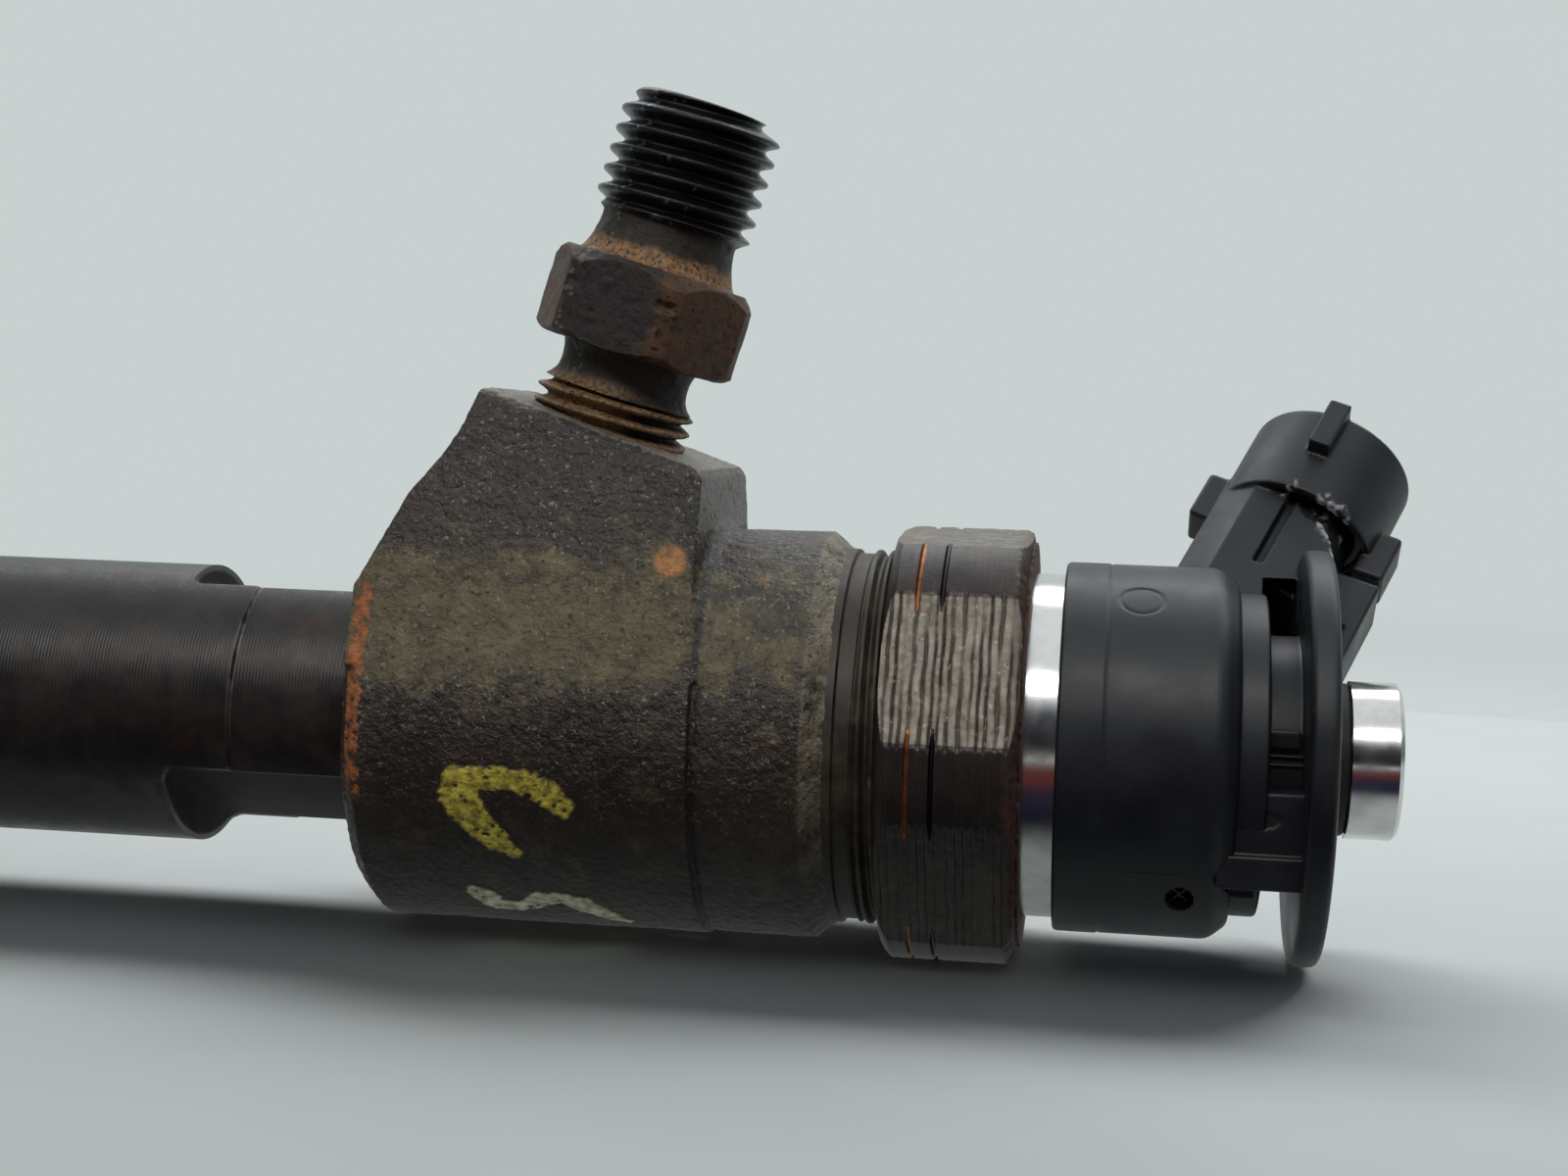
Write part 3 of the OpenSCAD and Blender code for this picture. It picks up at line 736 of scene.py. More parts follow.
def turned_steel(name, dark, light, ring_depth=0.01, rough=(0.35, 0.5), metal=0.8, painted_highlight_at=None):
    """Turned steel with fine rings about the main axis."""
    p = Paint(name)
    x, radius = p.axis("X"), p.length(p.stretched(0, 1, 1))
    rings, stains = p.noise(7, 2, 0.6, p.stretched(1, 0.03, 0.03)), p.noise(0.35, 5, 0.65)
    tool_pitch = 0.25
    tool = p.maths("SINE", (x + p.noise(0.8, 2) * 0.1) * (2 * math.pi / tool_pitch)).times_plus_half(0.5)
    p.surface = p.mix(stains.fade(0.35, 0.75), dark, light)
    p.lay(light, rings.fade(0.5, 0.8) * 0.3)
    p.lay((0.075, 0.030, 0.022), p.noise(0.22, 4, 0.6).fade(0.56, 0.72) * 0.35)
    worn = p.edges(0.53, 0.6) * stains.fade(0.4, 0.6) * 0.5
    # Painted highlight: where a station is given, a light streak around the upper half of the step there; it
    # joins the worn edges and takes their light colour
    if painted_highlight_at is not None:
        streak = abs(x - painted_highlight_at).fade(0.2, 0.1) * p.noise(0.5, 3).fade(0.35, 0.6) * radius.fade(9.9, 10.1)
        worn = worn | streak * p.axis("Z").fade(-4, 4) * 0.7
    p.lay((0.16, 0.15, 0.14), worn)
    p.bump(rings, ring_depth)
    p.bump(tool * p.noise(0.6, 3).fade(0.3, 0.6), ring_depth * 1.2)
    p.bump(p.noise(5, 3), ring_depth * 0.4)
    on_clamp_flat = radius.fade(10.2, 9.9) * x.fade(SLOT_START - 0.2, SLOT_START)
    return p.done(p.blend(on_clamp_flat, p.blend(stains.fade(0.3, 0.7), *rough), 0.85), metal)


def inlet_steel():
    """Rusty inlet: scale on the boss thread, brown hexagon, ochre deposit above it, oily thread."""
    p = Paint("inlet_steel")
    s, to_left = p.along(INLET_ORIGIN, INLET_AXIS), p.along(INLET_ORIGIN, INLET.e2)
    crust, fine = p.noise(0.8, 6, 0.7), p.noise(3.2, 4, 0.6)
    brown = crust.ramp((0.35, (0.040, 0.021, 0.013)), (0.7, (0.145, 0.078, 0.044)))
    p.surface = crust.ramp((0.35, (0.016, 0.014, 0.014)), (0.7, (0.040, 0.033, 0.030)))
    p.lay(brown, (abs(to_left - 1.5) * 0.12 + p.noise(0.3, 4) * 0.6).fade(0.62, 0.82))
    neck = s.fade(28.5, 28.2) | s.fade(34.8, 35.1)
    p.lay(crust.ramp((0.35, (0.012, 0.010, 0.008)), (0.7, (0.040, 0.033, 0.024))), neck)
    valley = p.mask("valley")
    p.lay((0.006, 0.004, 0.003), valley * s.fade(25.8, 25.4))
    crest = p.maths("SUBTRACT", s.fade(25.6, 25.3) * crust.fade(0.30, 0.45) * 0.85, valley, clamp=True)
    low = s.fade(26.6, 25.2) * to_left.fade(-3.2, 0.0) * crust.fade(0.30, 0.44) * 0.8
    sill = s + p.noise(0.5, 3) * 1.2
    high = s.fade(34.85, 35.1) * sill.fade(37.1, 36.3) * crust.fade(0.32, 0.42)
    p.lay(fine.ramp((0.32, (0.055, 0.028, 0.014)), (0.62, (0.36, 0.21, 0.10))), crest | low | high)
    p.lay((0.012, 0.007, 0.005), p.noise(2.6, 2, 0.5).fade(0.62, 0.68) * s.fade(38.0, 37.4))
    scratch = p.noise(1.0, 3, 0.6, p.across_inlet(0.8, 7.0)).fade(0.62, 0.74)
    scratch = scratch * (s.fade(28.4, 28.6) * s.fade(34.9, 34.7))
    p.lay((0.10, 0.095, 0.09), scratch * 0.6)
    oily = s.fade(38.0, 38.6)
    p.lay((0.009, 0.009, 0.011), oily)
    worn = p.edges(0.53, 0.60) * crust.fade(0.3, 0.5) * 0.75
    p.lay(p.mix(oily, (0.17, 0.14, 0.11), (0.13, 0.135, 0.15)), worn)
    p.bump(crust, 0.08)
    p.bump(fine, 0.04)
    p.bump(scratch, 0.03)
    rough = p.blend(oily, p.blend(crust.fade(0.3, 0.7), 0.45, 0.75), 0.24)
    return p.done(rough, p.blend(oily, 0.15, 0.5), 0.35)


def nut_steel():
    """Solenoid nut: dark turned rounds, milled flats made lighter or darker flat by flat as painted light and
    shade, rust in one groove and at the right rim.
    """
    p = Paint("nut_steel")
    x, flat, in_groove = p.axis("X"), p.mask("flat"), p.mask("groove")
    blotch, fine = p.noise(0.45, 5, 0.65), p.noise(4, 3)
    lines = p.noise(6, 2, 0.5, p.stretched(1, 0.05, 0.05))
    smear = p.noise(1.6, 4, 0.7, p.stretched(1, 0.35, 0.35))
    p.surface = blotch.ramp((0.3, (0.026, 0.022, 0.021)), (0.7, (0.050, 0.042, 0.038)))
    p.lay((0.10, 0.09, 0.085), lines.fade(0.5, 0.8) * 0.3)
    face = p.noise(0.9, 5, 0.65).ramp((0.34, (0.115, 0.095, 0.070)), (0.66, (0.235, 0.212, 0.180)))
    milled = p.mix((p.mask("rib") + smear * 0.3).fade(0.45, 1.0), (0.060, 0.050, 0.040), face)
    milled = p.mix(p.noise(2.6, 3, 0.6).fade(0.60, 0.70) * 0.6, milled, (0.36, 0.34, 0.31))
    # The milled colour goes on each flat in the share given by the flat mask, so the flats facing down stay
    # dark as painted shade
    p.lay(milled, flat)
    orange = p.noise(1.2, 4).ramp((0.3, (0.13, 0.042, 0.015)), (0.7, (0.42, 0.16, 0.05)))
    between = NUT_START + 3.2
    p.lay(orange, in_groove * x.fade(between, between - 0.2) * blotch.fade(0.2, 0.4))
    p.lay((0.012, 0.008, 0.007), in_groove * x.fade(between, between + 0.1))
    rust = (x + blotch * 2.4).fade(NUT_END - 0.1, NUT_END + 0.9) * p.blend(flat, 1.0, 0.35)
    p.lay(p.noise(1.5, 5).ramp((0.35, (0.022, 0.010, 0.010)), (0.7, (0.085, 0.034, 0.024))), rust)
    p.bump(fine, 0.02)
    p.bump(lines, 0.01)
    p.bump(smear * flat, 0.05)
    return p.done(p.blend(rust, p.blend(flat, 0.38, 0.5), 0.7), p.blend(rust, 0.55, 0.1), 0.4)


def polished_steel():
    """Bright ground steel with faint rings and smudges."""
    p = Paint("polished_steel")
    tint, smudge = np.array((0.72, 0.71, 0.69)), p.noise(0.5, 4)
    p.surface = p.mix(smudge.fade(0.35, 0.75), tint, 0.8 * tint)
    p.bump(p.noise(12, 2, 0.5, p.stretched(1, 0.02, 0.02)), 0.0025)
    return p.done(p.blend(smudge.fade(0.35, 0.7), 0.13, 0.22), 1.0)


def moulded_plastic(name, base, rough=(0.40, 0.52), grain_depth=0.01):
    """Moulded plastic with a fine eroded grain and a few dusty scuffs."""
    p = Paint(name)
    cloud, fine = p.noise(0.25, 4), p.noise(6, 3, 0.6)
    dust = (0.07, 0.075, 0.08)
    p.surface = p.mix(cloud.fade(0.35, 0.7), base, 1.35 * np.array(base) + 0.002)
    p.lay(dust, p.noise(2.4, 6, 0.75).fade(0.70, 0.84) * 0.25)
    p.lay(dust, p.edges(0.53, 0.62) * cloud.fade(0.3, 0.6) * 0.3)
    p.lay((0.42, 0.43, 0.45), p.mask("scuff"))
    p.bump(fine, grain_depth)
    return p.done(p.blend(cloud.fade(0.3, 0.7), *rough), gloss=0.4)


def plain_metal(name, base, rough=0.3, metal=1.0):
    """Machined metal for the parts inside: brushed grain, slight tone changes, bright edges."""
    p = Paint(name)
    base = np.array(base)
    streak = p.noise(5, 3, 0.6, p.stretched(0.25, 1, 1))
    p.surface = p.mix(p.noise(0.6, 4).fade(0.3, 0.7), base, 0.72 * base)
    p.lay(np.minimum(1.0, 1.25 * base + 0.02), p.edges(0.53, 0.62) * 0.6)
    p.bump(streak, 0.006)
    return p.done(p.blend(streak, rough * 0.8, rough * 1.25), metal)


def wound_wire():
    """Enamelled copper winding with its turns."""
    p = Paint("wound_wire")
    turns_per_mm = 3.3
    crown = p.maths("SINE", p.maths("FRACT", p.axis("X") * turns_per_mm) * math.pi)
    p.surface = p.mix(p.noise(1.2, 3), (0.42, 0.14, 0.05), (0.60, 0.24, 0.09))
    p.bump(crown, 0.08)
    return p.done(p.blend(crown, 0.45, 0.25), 0.85)


def rubber(name, shade):
    p = Paint(name)
    fine = p.noise(5, 4, 0.6)
    p.surface = p.mix(p.noise(0.5, 3).fade(0.3, 0.7), [shade] * 3, [1.6 * shade] * 3)
    p.bump(fine, 0.01)
    return p.done(p.blend(fine, 0.55, 0.75))


# ---------------------------------------------------------------- body


# The bore as in the CAD: the nozzle spring's room, the piston's bore, and the steps from the armature's
# room down to the piston's bore
SPRING_ROOM_R, PISTON_BORE_R = 3.2, 2.35
BORES = [
    (121, 10.5), (121, 8.5), (108, 8.5), (108, 5.1), (97, 5.1), (97, 4.0), (95.5, 4.0), (95.5, PISTON_BORE_R),
]


def stem_outline():
    """Turned outside of the stem and its bore."""
    slot_step, dip = 0.15, 0.3
    shoulder = SLOT_START + 5.2
    count = int((HEAD_START + 0.7 - SLOT_START) / slot_step) + 1
    stations = SLOT_START + 0.02 + np.arange(count) * slot_step
    slot_run = [(x, STEM_R - dip * float(step_up(shoulder, shoulder + 0.25, x))) for x in stations]
    return [
        *shifted(
            BODY_START, (0, SPRING_ROOM_R), (0, 6.9), (0.25, 7.15), (1.8, 7.15), (2.2, 7.5), (13, 7.5),
            (13.5, 7.0), (14.5, 7.0), (15.3, 8.6), (15.7, 9.0), (18.9, 9.0), (19.1, 9.05), (22.8, 10.42),
            (23.2, STEM_R), (39.5, STEM_R),
        ),
        (SLOT_START - 0.02, STEM_R), *slot_run, (slot_run[-1][0], PISTON_BORE_R),
        *shifted(BODY_START, (27.5, PISTON_BORE_R), (27.5, SPRING_ROOM_R)),
    ]


def stem_shape(theta, x, r):
    """Two clamp flats with a small fillet at their shoulder."""
    fillet = 0.9
    rest = np.clip(fillet - (x - SLOT_START), 0, fillet)
    depth = FLAT_D + fillet - np.sqrt(fillet * fillet - rest * rest)
    gap = flat_gap(theta, 2.0, 2, FLAT_TURN) * depth
    gap = np.where(np.abs(np.cos(theta - FLAT_TURN)) < 0.3, FAR, gap)
    return np.where((x > SLOT_START) & (r > 4), np.minimum(r, gap), r)


def boss_reach(theta, x):
    """Distance from the main axis to the inlet boss's surface, 0 where there is none."""
    sin_t, cos_t = np.sin(theta), np.abs(np.cos(theta))
    lean = math.atan2(INLET_AXIS[0], INLET_AXIS[2])
    top, half, fillet, chamfer = 22.4, 7.0, 1.3, 0.45
    left_reach, right_reach = 8.0, 9.4
    tilt = lean + math.radians(2.3)
    right_x = INLET_ORIGIN[0] + top * math.sin(lean) + right_reach * math.cos(lean)
    right_top = top * math.cos(lean) - right_reach * math.sin(lean) + 0.15
    left_x = INLET_ORIGIN[0] + top * math.sin(lean) - left_reach * math.cos(lean)
    left = np.array([left_x, right_top + (right_x - left_x) * math.tan(tilt)])
    sweep_r, sweep_start, sweep_end, bevel_slope = 16.65, math.radians(-44), math.radians(-14.6), 2.1
    sweep = left - sweep_r * np.array([math.cos(sweep_end), math.sin(sweep_end)])
    bevel = sweep + sweep_r * np.array([math.cos(sweep_start), math.sin(sweep_start)])
    corner = left[1] + 1
    turn = math.atan2(half, corner) + math.acos((HEAD_R - 0.02) / math.hypot(half, corner))
    side = HEAD_R - 0.02

    # Faces as (normal, distance) from the main axis
    top_face = (math.sin(tilt), 0, math.cos(tilt)), right_x * math.sin(tilt) + right_top * math.cos(tilt)
    side_face = (0, math.sin(turn), math.cos(turn)), side
    left_n = (-math.cos(sweep_end), 0, -math.sin(sweep_end))
    left_face = left_n, left_n[0] * left[0] + left_n[2] * left[1] + 0.25
    right_face = (1, 0, 0), right_x

    def reach(normal, distance):
        across = normal[1] * cos_t + normal[2] * sin_t
        return np.where(across > 0.05, (distance - normal[0] * x) / np.maximum(across, 0.05), FAR)

    def chamfered(a, b):
        return reach(tuple(u + v for u, v in zip(a[0], b[0])), a[1] + b[1] - chamfer)

    inside = np.clip(sweep_r ** 2 - (x - sweep[0]) ** 2, 0, None)
    left_z = sweep[1] - np.sqrt(inside)
    left_z = np.where(x < bevel[0], bevel[1] - bevel_slope * (bevel[0] - x), left_z)
    foot = np.clip(fillet ** 2 - (right_x + fillet - x) ** 2, 0, None)
    limit = np.minimum.reduce([
        reach(*top_face), reach(*side_face), chamfered(top_face, side_face),
        chamfered(top_face, right_face), chamfered(top_face, left_face),
        np.where(x < left[0], left_z, FAR) / np.maximum(sin_t, 0.1),
        np.where(x > right_x, HEAD_R - 0.2 + fillet - np.sqrt(foot), FAR),
    ])
    here = (sin_t > math.cos(turn)) & (x > HEAD_START + 0.12) & (x < right_x + fillet)
    return np.where(here, limit, 0)


def head_outline():
    outside = dense([
        (HEAD_START, PISTON_BORE_R), (HEAD_START, HEAD_R - 1.1), (HEAD_START + 1.1, HEAD_R), (STEP_X, HEAD_R),
        (STEP_X + 0.12, HEAD_R - 0.42), (STEP_X + 0.4, HEAD_R - 0.4), (STEP_X + 0.7, HEAD_R - 0.2),
        (HEAD_END - 1.4, HEAD_R - 0.17), (HEAD_END, HEAD_R - 1.35), (HEAD_END + 0.3, HEAD_R - 1.4),
        (HEAD_END + 0.3, 10.5),
    ], 0.14)
    outside = [p for p in outside if p[1] > 10.5 or p[0] < HEAD_START + 0.2]
    return [*outside, (HEAD_END + 0.3, 10.5), *BORES]


def head_shape(theta, x, r):
    outer = (r > 12.5) & (x > HEAD_START + 0.1)
    return np.where(outer, np.maximum(r, boss_reach(theta, x)), r)


def stroke(points, path, seed):
    """Paint mask along a path of (x, angle from -Y towards +Z in degrees, width) on the head's front."""
    x, turn = points[:, 0], np.degrees(np.arctan2(points[:, 2], -points[:, 1]))
    here = np.stack([x, np.radians(turn) * HEAD_R], 1)
    line = np.array([(a, math.radians(b) * HEAD_R) for a, b, _ in path])
    depth = np.full(len(points), -FAR)
    ragged = 0.5 * (grain(points, 0.9, seed) - 0.5) + 0.3 * (grain(points, 0.3, seed + 2) - 0.5)
    for k, (a, b) in enumerate(zip(line[:-1], line[1:])):
        t = np.clip(((here - a) @ (b - a)) / ((b - a) @ (b - a)), 0, 1)
        half = ((1 - t) * path[k][2] + t * path[k + 1][2]) / 2
        depth = np.maximum(depth, half - np.linalg.norm(here - a - t[:, None] * (b - a), axis=1))
    mask = step_up(-0.1, 0.12, depth + ragged)
    worn = step_up(0.14, 0.26, grain(points, 0.35, seed + 1))
    return np.where(points[:, 1] < 0, mask * worn, 0)


HOOK = [
    (108.6, -18.6, 0.6), (108.4, -16.0, 1.6), (107.3, -11.9, 1.8), (105.2, -9.5, 1.7), (102.6, -9.0, 1.6),
    (101.2, -10.8, 2.3), (101.1, -14.5, 2.7), (102.2, -21.5, 2.5), (103.6, -27.5, 2.0), (104.7, -31.2, 1.0),
]
SMEAR = [
    (100.9, -46.5, 0.6), (101.6, -50, 2.0), (102.4, -56, 1.9), (104.3, -57, 1.3), (106.0, -51, 1.8),
    (107.4, -49.5, 1.4), (108.8, -52.5, 1.9), (109.8, -58, 1.7), (111.6, -64, 0.6),
]


def make_body():
    steel = turned_steel(
        "body_turned_steel", (0.013, 0.011, 0.010), (0.028, 0.023, 0.020), 0.014, (0.36, 0.48), 0.35,
        painted_highlight_at=SLOT_START + 5.35,
    )
    stem = turned("stem", stem_outline(), 512, stem_shape)
    put("body_stem", stem, steel, ["injector_body"], sharp=32)

    head = fused("head", [turned("head", head_outline(), 900, head_shape)], 0.145, 2)
    points = coordinates(head)
    outer = step_up(11.5, 12.2, np.hypot(points[:, 1], points[:, 2]))
    yellow, cream = stroke(points, HOOK, 5), stroke(points, SMEAR, 8)
    pebbles = grain(points, 0.45, 1) * 0.09 + grain(points, 1.1, 2) * 0.06 + grain(points, 4.0, 3) * 0.10
    paint = np.maximum(yellow, cream) * (0.05 + 0.05 * grain(points, 0.3, 4))
    push(head, outer * (pebbles - 0.14) + paint)
    add_mask(head, "yellow", yellow)
    add_mask(head, "cream", cream)
    facing = normals(head)
    pad = step_up(0.80, 0.93, facing @ np.array([0.311, 0, 0.950])) * (points[:, 2] > 16.5)
    wall = 0.55 * step_up(0.7, 0.95, facing[:, 0]) * (points[:, 2] > 14.8) * (points[:, 0] < STEP_X + 3)
    add_mask(head, "pad", np.maximum(pad, wall))
    put("body_head", head, forged_steel(), ())

    collar_r, hollow = HEAD_R - 1.35, HEAD_R - 1.65
    collar = dense([
        *shifted(
            HEAD_END, (-0.4, 10.5), (-0.4, collar_r + 0.05), (0.5, collar_r), (0.65, hollow), (1.7, hollow),
            (1.9, collar_r),
        ),
        *shifted(BODY_END, (-0.7, collar_r), (0, collar_r - 0.65), (0, 10.5)),
    ], 0.08)

    def shape(theta, x, r):
        return np.where(r > 12.5, thread(theta, x, r, HEAD_END + 1.8, BODY_END + 1, 1.0, 0.5, 0.3), r)

    collar_steel = turned_steel(
        "collar_steel", (0.020, 0.016, 0.012), (0.070, 0.056, 0.036), 0.01, (0.45, 0.65), 0.3
    )
    put("body_thread", turned("collar", collar, 360, shape), collar_steel, (), sharp=40)


# ---------------------------------------------------------------- inlet


INLET_R = MOUNTS["inlet_thread"]["dims"]["r_mm"]
HEX_TURN = math.radians(175.6)
HEX_ACROSS = 14.0
BOSS_PITCH, LINE_PITCH = 1.1, 1.5


def inlet_valleys(theta, s, _):
    """1 in the grooves of the boss thread."""
    turn = triangle_wave(s / BOSS_PITCH - theta / (2 * np.pi))
    return {"valley": step_up(0.35, 0.75, turn) * (s < 25.5) * (s > 19)}


def inlet_shape(theta, s, r):
    """Hexagon with its dent and nick, and the two threads."""
    hexed = np.minimum(r, flat_gap(theta, HEX_ACROSS, 6, HEX_TURN))
    wide = HEX_ACROSS / 2 * np.tan(np.clip(theta - HEX_TURN, -1.2, 1.2))
    hexed = hexed - 0.45 * np.exp(-(((wide - 3.6) / 0.75) ** 4 + ((s - 32.56) / 0.32) ** 4))
    hexed = hexed - 0.3 * np.exp(-(((wide + 3.9) / 0.5) ** 2 + ((s - 32.4) / 0.3) ** 2))
    r = np.where((s > 28.35) & (s < 35.05) & (r > 6.0), hexed, r)
    outer = r > 4.5
    boss_thread = thread(theta, s, r, 20.0, 25.9, BOSS_PITCH, 0.85, 0.2)
    line_thread = thread(theta, s, r, 38.2, 48.6, LINE_PITCH, 0.88, 0.7)
    r = np.where(outer & (s < 25.3), boss_thread, r)
    return np.where(outer & (s > 38.2), line_thread, r)


def make_inlet():
    outline = dense(rounded([
        (20, 1.7), (20, INLET_R), (25.0, INLET_R), (25.6, 5.3), (26.2, 4.9, 1.0), (27.5, 4.8, 1.5),
        (28.4, 5.1), (28.35, 6.6), (28.4, 6.95), (28.85, 7.72), (33.9, 7.72), (34.95, 6.8), (34.98, 5.9),
        (35.4, 5.6, 0.8), (36.6, 5.2, 1.0), (37.6, 5.05), (38.1, 5.05), (38.7, INLET_R), (46.1, INLET_R),
        (47.2, INLET_R - 1.0), (47.3, INLET_R - 1.25), (47.3, 3.3), (45.8, 2.3), (40.6, 2.3), (40, 1.7),
    ], 0.12), 0.1)
    mesh = turned("inlet", outline, 384, inlet_shape, INLET, inlet_valleys)
    points = coordinates(mesh)
    s = (points - INLET_ORIGIN) @ INLET.axis
    far = np.linalg.norm(points - INLET_ORIGIN - s[:, None] * INLET.axis, axis=1)
    rough_zone = step_up(4.4, 4.7, far) * (1 - step_up(37.8, 38.4, s))
    crust = grain(points, 0.5, 11) * 0.07 + grain(points, 1.6, 12) * 0.10
    push(mesh, rough_zone * (crust - 0.12))
    put("inlet_skin", mesh, inlet_steel(), ["inlet_connector"], sharp=50)


# ---------------------------------------------------------------- solenoid nut and sleeve


NUT_TURN = math.radians(154.5)
NUT_FLATS = 30.0
RIB_PITCH = 0.64
SIXTH = np.pi / 3
GROOVES = (NUT_START + 2.25, NUT_START + 3.95)


def nut_profile(x):
    """Radius of the turned nut before its flats."""
    r = np.minimum(NUT_R, NUT_R - 1.2 + np.sqrt(np.clip((x - NUT_START) * 1.9, 0, None)))
    r = np.minimum(r, NUT_R - 1.2 + np.sqrt(np.clip((NUT_END - 0.2 - x) * 2.6, 0, None)))
    for place in GROOVES:
        r = r - 0.35 * (1 - step_up(0.11, 0.17, np.abs(x - place)))
    return r


def nut_ribs(theta, x):
    """Milling marks across the flats: 1 on the ribs, 0 in the narrow valleys, uneven from rib to rib."""
    part = np.floor((theta - NUT_TURN + SIXTH / 2) / SIXTH) % 6
    wander = 0.16 * np.sin(x * 2.3 + part * 2) + 0.06 * np.sin(theta * 23 + x)
    place = np.stack(np.broadcast_arrays(x * 1.7, part * 7.0, theta * 4), -1)
    uneven = grain(place, 1.0, 21)
    off = RIB_PITCH * (0.5 - 0.5 * triangle_wave(x / RIB_PITCH + wander))
    valley = np.exp(-(off / 0.11) ** 2) * (0.35 + 0.65 * step_up(0.1, 0.6, grain(place, 0.8, 23)))
    return 1 - valley * np.where(part == 5, 0.25, 1), uneven


def nut_shape(theta, x, r):
    gap = flat_gap(theta, NUT_FLATS, 6, NUT_TURN)
    rib, uneven = nut_ribs(theta, x)
    around = np.stack(np.broadcast_arrays(x, 15 * np.cos(theta), 15 * np.sin(theta)), -1)
    gap = gap - 0.02 - 0.11 * (1 - rib) - 0.05 * uneven - 0.06 * grain(around, 0.35, 24)
    r = r - 0.30 * grain(around, 0.45, 22) * step_up(NUT_END - 1.1, NUT_END - 0.5, x) * (r > 14.6)
    return np.where(r > 14.2, np.minimum(r, gap), r)


def nut_masks(theta, x, r):
    full = nut_profile(x)
    on_flat = (flat_gap(theta, NUT_FLATS, 6, NUT_TURN) < full) & (r > 14.2)
    sunk = np.zeros_like(x)
    for place in GROOVES:
        sunk = np.maximum(sunk, 1 - step_up(0.12, 0.2, np.abs(x - place)))
    rib, _ = nut_ribs(theta, x)
    part = np.round((theta - NUT_TURN) / SIXTH) % 6
    # Painted light and shade: each flat gets its own share of the light milled colour, high on the flats
    # facing up and to the front, low on the one facing down to the front
    bright = np.choose(part.astype(int), [1.0, 0.1, 0.35, 0.6, 0.25, 0.9])
    return {"flat": on_flat * bright, "groove": np.where(on_flat, 0, sunk), "rib": rib}


def make_nut():
    stations = np.linspace(NUT_START + 0.001, NUT_END - 0.001, 150)
    outline = [
        (NUT_START, 13.7), (NUT_START, 14.0), *((x, float(nut_profile(x))) for x in stations),
        *shifted(NUT_END, (0, 14.0), (0, 12.5), (-1.8, 12.5), (-1.8, 13.7)),
    ]
    mesh = turned("nut", outline, 720, nut_shape, masks=nut_masks)
    put("nut_skin", mesh, nut_steel(), ["solenoid_nut"], sharp=40)


# ---------------------------------------------------------------- cap


def barrel_outline():
    """Plug socket: barrel with its cavity, and the open skirt around its root. Stations from the mouth."""
    return rounded([
        (-8.4, 5.7), (-8.4, 6.35, 0.12), (-0.2, 6.35, 0.3), (-0.2, 5.0, 0.25), (-6.6, 5.0), (-6.6, 4.1),
        (-9.4, 4.1), (-9.4, 0), (-16, 0), (-16, 4.3), (-6.2, 4.3), (-6.2, 5.7),
    ], 0.05)


DISC_START = mount("return_nipple_outside")[0][0] - 5.2
CAP_R = 13.26
SEAM_X = SLEEVE_END - 5.0


def cap_outline():
    """Drum with its ring, the neck and the return-line disc."""
    bore, inner, drum, ring, neck, disc = NIPPLE_R - 0.25, 12.45, 13.3, 11.5, 8.6, 14.8
    return dense(rounded([
        (SLEEVE_END + 0.2, bore), (SLEEVE_END + 0.2, inner), (CAP_START, inner, 0.1), (CAP_START, drum, 0.5),
        (SEAM_X, drum, 0.02), (SEAM_X + 0.1, CAP_R, 0.02),
        *shifted(
            SLEEVE_END, (2.7, CAP_R, 0.6), (4, 12.2, 0.3), (4.05, ring, 0.1), (6, ring, 0.3), (6.1, neck, 0.2)
        ),
        *shifted(DISC_START, (0, neck, 0.2), (0, disc, 0.7), (2, disc, 0.7), (2, bore, 0.2)),
    ], 0.05, 4), 0.13)


def cap_shape(theta, x, r):
    """Parting groove, round ejector mark, moulding line and vent hole on the cap's drum."""
    turn = (2 * np.pi - theta) % (2 * np.pi) - np.pi  # from -Y towards +Z
    drum = (r > 12.9) & (x < SLEEVE_END + 2.4)
    change = -0.09 * np.exp(-((x - SEAM_X) / 0.09) ** 2)
    off_mark = np.hypot(x - SLEEVE_END + 2.8, (turn - math.radians(58)) * CAP_R)
    change -= 0.10 * np.exp(-((off_mark - 1.45) / 0.10) ** 2) + 0.03 * (off_mark < 1.4)
    line = (x > SLEEVE_END - 6.4) & (x < SLEEVE_END + 0.3)
    change += 0.05 * line * np.exp(-(((turn + math.radians(31.9)) * CAP_R) / 0.08) ** 2)
    across, up = x - SLEEVE_END - 0.5, r * np.sin(theta) + 8.86
    hole = (np.hypot(across, up) < 0.92) & (np.cos(theta) < 0)
    web = (np.abs(across + up) < 0.16) | (np.abs(across - up) < 0.16)
    change = np.where(hole, np.where(web, -0.45, -1.1), change)
    return np.where(drum, r + change, r)


